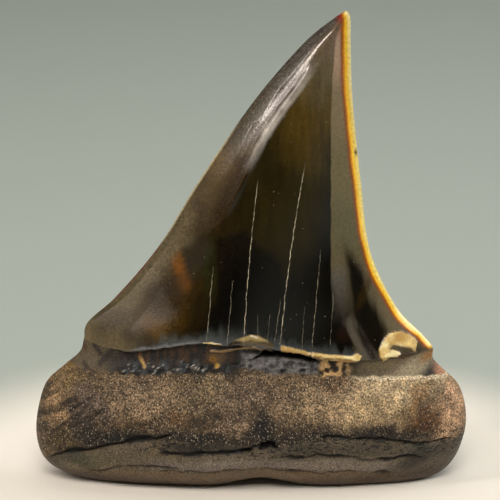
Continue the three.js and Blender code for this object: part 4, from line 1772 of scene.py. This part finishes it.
    def material(self, mm_per_unit: Vector, section_origin: Vector) -> bpy.types.Material:
        """Builds the material: the tint, broken up by pale crumbs, dark pores and chips.

        The crumbs are cells about 0.26 mm apart, drawn out upwards a little, coarser than the finest
        real ones so that they show. The pores are as fine, strong where there are crumbs and faint on
        the smooth lower root. The pits are about 0.5 mm across and lie level.

        Args:
            mm_per_unit: the sections' millimetres in a metre of the piece, along each axis.
            section_origin: the piece's origin in the sections' millimetres.

        Returns:
            The material.
        """
        recipe = Recipe("porous_dentine", mm_per_unit, section_origin)
        place = recipe.place
        tint = recipe.add("Attribute", out="Color", attribute_name="root_tint")
        flecked = recipe.add("Attribute", out="Fac", attribute_name="crumbs")
        drawn = recipe.add("Mapping", {"Vector": place, "Scale": Vector(self.crumb_squash)})
        shaken = {"Vector": drawn, "Scale": self.jitters_per_mm, "Detail": 2.0}
        shift = recipe.add("TexNoise", shaken, out="Color")
        jittered = {0: shift, 1: (self.jitter,) * 3, 2: drawn}
        moved = recipe.add("VectorMath", jittered, operation="MULTIPLY_ADD")
        cells = {"Vector": moved, "Scale": self.crumbs_per_mm}
        away = recipe.add("TexVoronoi", cells, out="Distance")
        lot = recipe.add("TexVoronoi", cells, out="Color")
        own = recipe.add("SeparateXYZ", {0: lot}, out="X")
        dome = recipe.add("MapRange", {0: away, 1: 0.08, 2: 0.44, 3: 1.0, 4: 0.0}, **EASED)
        rare = recipe.add("Math", {0: own, 1: self.crumb_rarity}, operation="POWER")
        crumb = recipe.add("Math", {0: dome, 1: rare}, operation="MULTIPLY")
        pored = {"Vector": place, "Scale": self.pores_per_mm, "Detail": 3.0, "Roughness": 0.7}
        pores = recipe.add("TexNoise", pored, out="Fac")
        strong = recipe.add("MapRange", {0: pores, 1: 0.37, 2: 0.64, 3: 0.10, 4: 1.55}, **EASED)
        faint = recipe.add("MapRange", {0: pores, 1: 0.34, 2: 0.66, 3: 0.52, 4: 1.24}, **EASED)
        shade = recipe.add("Mix", {0: flecked, 2: faint, 3: strong})
        # The pits are painted dark: the shade inside small holes, drawn on the colour.
        pitted = recipe.add("Attribute", out="Fac", attribute_name="pits")
        level = recipe.add("Mapping", {"Vector": place, "Scale": Vector(self.pit_squash)})
        holes = {"Vector": level, "Scale": self.pits_per_mm, "Detail": 3.0, "Roughness": 0.6}
        hollow = recipe.add("TexNoise", holes, out="Fac")
        opened = recipe.add("MapRange", {0: hollow, 1: 0.50, 2: 0.58, 3: 0.0, 4: 0.95}, **EASED)
        dark = recipe.add("Math", {0: opened, 1: pitted}, operation="MULTIPLY")
        kept = recipe.add("Math", {0: 1.0, 1: dark}, operation="SUBTRACT")
        shade = recipe.add("Math", {0: shade, 1: kept}, operation="MULTIPLY")
        ground = recipe.add("VectorMath", {0: tint, "Scale": shade}, operation="SCALE")
        own_light = recipe.add("VectorMath", {0: tint, "Scale": self.crumb_gain}, operation="SCALE")
        creamed = {FACTOR: self.crumb_cream, FIRST: own_light, SECOND: linear(self.crumb)}
        pale = recipe.add("Mix", creamed, MIXED, data_type="RGBA")
        lit = recipe.add("Math", {0: crumb, 1: flecked}, operation="MULTIPLY")
        shown = recipe.add("MapRange", {0: lit, 1: 0.0, 2: 0.6, 3: 0.0, 4: 1.0})
        colour = recipe.add("Mix", {FACTOR: shown, FIRST: ground, SECOND: pale}, MIXED, data_type="RGBA")
        drying = {0: flecked, 1: 0.0, 2: 0.4, 3: self.wet_roughness, 4: self.dry_roughness}
        roughness = recipe.add("MapRange", drying)
        coarse = recipe.add("Math", {0: lit, 1: self.crumb_height}, operation="MULTIPLY")
        relief = {0: shade, 1: self.grain_height, 2: coarse}
        height = recipe.add("Math", relief, operation="MULTIPLY_ADD")
        return recipe.finished(colour, roughness, height, self.ior)


@dataclass
class Tooth:
    """The whole tooth: its form, its wear and its finish.

    enamel_overlap is how far the enamel's finish goes past the enamel's end.
    """

    form: ToothForm = field(default_factory=ToothForm)
    wear: Wear = field(default_factory=Wear)
    enamel: PolishedEnamel = field(default_factory=PolishedEnamel)
    root: PorousRoot = field(default_factory=PorousRoot)
    enamel_overlap: float = 0.08

    def build(self) -> bpy.types.Object:
        """Makes the tooth's piece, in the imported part's box, and dresses it.

        Returns:
            The piece.
        """
        front = self.form.sheet(Face.INNER)
        back = self.form.sheet(Face.OUTER)
        fields = [self.wear.apply(sheet) for sheet in (front, back)]
        points, faces, values = self._join(front, back, fields)
        skin = Skin(*points.T, **values)
        tints = {"enamel_tint": self.enamel.tint(skin), "root_tint": self.root.tint(skin)}
        shades = {
            "inner": skin.inner,
            "dullness": self.enamel.dullness(skin),
            "crumbs": self.root.crumbs(skin),
            "pits": self.root.pits(skin),
        }
        low, high = (np.array(corner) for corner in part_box("tooth"))
        least = points.min(axis=0)
        size = (high - low) / (points.max(axis=0) - least)
        origin = low - least * size
        piece = self._mesh("tooth_surface", points * size + origin, faces, tints, shades)
        mm_per_unit = Vector(1 / size)
        section_origin = Vector(-origin / size)
        for finish in (self.enamel, self.root):
            piece.data.materials.append(finish.material(mm_per_unit, section_origin))
        on_crown = (skin.below_enamel < self.enamel_overlap) | (skin.pale_flake > 0.0)
        on_root = on_crown[faces].sum(axis=1) < 2
        piece.data.polygons.foreach_set("material_index", on_root.astype(np.int32))
        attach(piece, "root")
        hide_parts("tooth")
        return piece

    def _join(
        self, front: Sheet, back: Sheet, fields: list[dict[str, Array]]
    ) -> tuple[Array, Array, dict[str, Array]]:
        """Joins the two sheets into one closed surface.

        The outer face keeps one column in a few. It shares the inner face's first row and outer
        columns, and a last point closes the tip. A coarse cell on the seam under the root is a fan of
        triangles to the finer row.

        Args:
            front: the inner face's grid.
            back: the outer face's grid.
            fields: named numbers over each grid.

        Returns:
            The points, the triangles, and the numbers at each point.
        """
        step = self.form.outer_step
        rows, columns = front.x.shape
        index = np.arange(rows * columns).reshape(rows, columns)
        coarse = index[:, ::step].copy()
        fresh = coarse[1:, 1:-1]
        coarse[1:, 1:-1] = rows * columns + np.arange(fresh.size).reshape(fresh.shape)
        tip = rows * columns + fresh.size

        def gather(front_values: Array, back_values: Array, at_tip: float) -> Array:
            """Lines up one number of all the points: the front's, the back's own, the tip's."""
            inner = back_values[1:, ::step][:, 1:-1]
            return np.concatenate([front_values.ravel(), inner.ravel(), [at_tip]])

        end = self.form.sections[-1].left
        tip_point = (end[0], self.form.tip_bend, end[1])
        points = np.stack(
            [
                gather(getattr(front, axis), getattr(back, axis), place)
                for axis, place in zip("xyz", tip_point)
            ],
            axis=1,
        )
        values = {
            name: gather(fields[0][name], fields[1][name], float(fields[0][name][-1].mean()))
            for name in fields[0]
        }

        def quads(grid: Array) -> Array:
            """Splits each cell of a grid of point numbers into two triangles."""
            a, b, c, d = grid[:-1, :-1], grid[:-1, 1:], grid[1:, 1:], grid[1:, :-1]
            return np.concatenate([np.stack(t, -1).reshape(-1, 3) for t in ((a, b, c), (a, c, d))])

        def fan(row: Array, apex: Array) -> Array:
            """Joins each stretch of a row of point numbers to the apex."""
            return np.stack([row[:-1], row[1:], np.broadcast_to(apex, row[1:].shape)], -1)

        half = step // 2
        cell = np.arange(columns - 1) // step
        late = (np.arange(columns - 1) % step) >= half
        apex = coarse[1][cell + late]
        seam = np.stack([index[0][:-1], index[0][1:], apex], -1)
        bridge = np.stack([index[0][half:-1:step], coarse[1][1:], coarse[1][:-1]], -1)
        facing_front = np.concatenate([quads(index), fan(index[-1], tip)])
        facing_back = np.concatenate([seam, bridge, quads(coarse[1:]), fan(coarse[-1], tip)])
        return points, np.concatenate([facing_front, facing_back[:, ::-1]]), values

    @staticmethod
    def _mesh(
        name: str, points: Array, faces: Array, tints: dict[str, Array], shades: dict[str, Array]
    ) -> bpy.types.Object:
        """Puts points, triangles, colours and numbers into a smooth-shaded object.

        Args:
            name: the piece's name.
            points: its points in metres.
            faces: its triangles.
            tints: named linear colours at each point.
            shades: named numbers at each point.

        Returns:
            The object, linked to the scene.
        """
        mesh = bpy.data.meshes.new(name)
        mesh.vertices.add(len(points))
        mesh.vertices.foreach_set("co", points.astype(np.float32).ravel())
        mesh.loops.add(faces.size)
        mesh.loops.foreach_set("vertex_index", faces.astype(np.int32).ravel())
        mesh.polygons.add(len(faces))
        mesh.polygons.foreach_set("loop_start", np.arange(0, faces.size, 3, dtype=np.int32))
        mesh.update(calc_edges=True)
        mesh.polygons.foreach_set("use_smooth", np.ones(len(faces), bool))
        for key, numbers in shades.items():
            made = mesh.attributes.new(key, "FLOAT", "POINT")
            made.data.foreach_set("value", numbers.astype(np.float32))
        for key, colours in tints.items():
            opaque = np.concatenate([colours, np.ones((len(points), 1))], axis=1)
            made = mesh.attributes.new(key, "FLOAT_COLOR", "POINT")
            made.data.foreach_set("color", opaque.astype(np.float32).ravel())
        mesh.validate()
        piece = bpy.data.objects.new(name, mesh)
        bpy.context.scene.collection.objects.link(piece)
        return piece


@dataclass(frozen=True)
class Softbox:
    """A soft studio lamp: where it stands round the tooth, its size and its power.

    aim is the point it is turned to, and its distance, width and height are in metres.
    """

    name: str
    aim: tuple[float, float, float]
    azimuth_deg: float
    elevation_deg: float
    distance: float
    width: float
    height: float
    watts: float
    spread_deg: float
    colour: str

    def light(self) -> None:
        """Adds the lamp, turned to the point it aims at; its grid narrows the beam to the spread."""
        around = math.radians(self.azimuth_deg)
        up = math.radians(self.elevation_deg)
        away = Vector((math.sin(around) * math.cos(up), -math.cos(around) * math.cos(up), math.sin(up)))
        lamp = bpy.data.lights.new(self.name, "AREA")
        lamp.shape = "RECTANGLE"
        lamp.size = self.width
        lamp.size_y = self.height
        lamp.energy = self.watts
        lamp.color = linear(self.colour)[:3]
        lamp.spread = math.radians(self.spread_deg)
        made = bpy.data.objects.new(self.name, lamp)
        made.location = Vector(self.aim) + away * self.distance
        made.rotation_euler = (-away).to_track_quat("-Z", "Y").to_euler()
        bpy.context.scene.collection.objects.link(made)


@dataclass
class Studio:
    """A pale floor, soft lamps, and the camera where the photograph was taken from."""

    elevation_deg: float = 20.0
    distance: float = 0.420
    focal_pixels: float = 3122.7
    aim: tuple[float, float, float] = (-0.000137, 0.0, 0.03353)
    sensor_mm: float = 36.0
    floor_half: float = 3.0
    paper: str = "f2ece3"
    far_paper: str = "a9b2ac"
    paper_roughness: float = 0.9
    paper_ior: float = 1.5
    pool: tuple[float, float, float] = (0.0, -0.012, 0.0)
    pool_radius: tuple[float, float] = (0.042, 0.064)
    dusk: str = "a0a9a4"
    dusk_strength: float = 0.10
    softboxes: tuple[Softbox, ...] = (
        Softbox("overhead", (0.0, 0.16, 0.0), 0.0, 90.0, 0.50, 0.60, 0.40, 0.42, 110.0, "fffaf2"),
        Softbox("front_fill", (0.0, 0.0, 0.03), 0.0, 52.0, 0.60, 0.50, 0.30, 0.345, 46.0, "fff8ee"),
        Softbox("left_panel", (0.0, 0.0, 0.03), -72.0, 14.0, 0.50, 0.42, 0.22, 0.035, 120.0, "f4f2f0"),
        Softbox("left_strip", (0.0, 0.0, 0.03), -67.5, 35.0, 0.45, 0.030, 0.23, 0.27, 120.0, "fff1e4"),
        Softbox("right_panel", (0.0, 0.0, 0.03), 98.0, 24.0, 0.50, 0.30, 0.20, 0.50, 120.0, "f2f6f4"),
    )

    def build(self) -> None:
        """Adds the floor, the lamps, the room's dim light and the camera."""
        for softbox in self.softboxes:
            softbox.light()
        self._world()
        self._floor()
        self._camera()

    def _world(self) -> None:
        """A dim even grey from every side."""
        world = bpy.data.worlds.new("studio_dusk")
        world.use_nodes = True
        background = world.node_tree.nodes["Background"]
        background.inputs["Color"].default_value = linear(self.dusk)
        background.inputs["Strength"].default_value = self.dusk_strength
        bpy.context.scene.world = world

    def _floor(self) -> None:
        """A pale matt floor that turns sage grey with distance from the tooth."""
        half = self.floor_half
        mesh = bpy.data.meshes.new("floor")
        corners = [(-half, -half, 0.0), (half, -half, 0.0), (half, half, 0.0), (-half, half, 0.0)]
        mesh.from_pydata(corners, [], [(0, 1, 2, 3)])
        floor = bpy.data.objects.new("floor", mesh)
        bpy.context.scene.collection.objects.link(floor)
        recipe = Recipe("pale_paper", Vector((1.0, 1.0, 1.0)), Vector((0.0, 0.0, 0.0)))
        from_pool = {0: recipe.place, 1: self.pool}
        away = recipe.add("VectorMath", from_pool, out="Value", operation="DISTANCE")
        near, gone = self.pool_radius
        far = recipe.add("MapRange", {0: away, 1: near, 2: gone}, **EASED)
        shades = {FACTOR: far, FIRST: linear(self.paper), SECOND: linear(self.far_paper)}
        colour = recipe.add("Mix", shades, MIXED, data_type="RGBA")
        mesh.materials.append(recipe.finished(colour, self.paper_roughness, None, self.paper_ior))

    def _camera(self) -> None:
        """The camera, in front and above, with the lens that gives the photograph's scale."""
        up = math.radians(self.elevation_deg)
        data = bpy.data.cameras.new("camera")
        data.sensor_width = self.sensor_mm
        data.lens = self.focal_pixels / IMAGE_PIXELS * data.sensor_width
        camera = bpy.data.objects.new("camera", data)
        camera.location = Vector(self.aim) + Vector((0.0, -math.cos(up), math.sin(up))) * self.distance
        camera.rotation_euler = (math.pi / 2 - up, 0.0, 0.0)
        bpy.context.scene.collection.objects.link(camera)
        bpy.context.scene.camera = camera


def main() -> None:
    """Builds the tooth and its studio, and logs the tooth's points and faces and the number of lamps."""
    logging.basicConfig(level=logging.INFO)
    bpy.context.scene.view_settings.view_transform = "Standard"
    tooth = Tooth().build()
    log.info("%s: %d points, %d faces", tooth.name, len(tooth.data.vertices), len(tooth.data.polygons))
    studio = Studio()
    studio.build()
    log.info("studio: a floor and %d lamps", len(studio.softboxes))


if __name__ == "__main__":
    main()
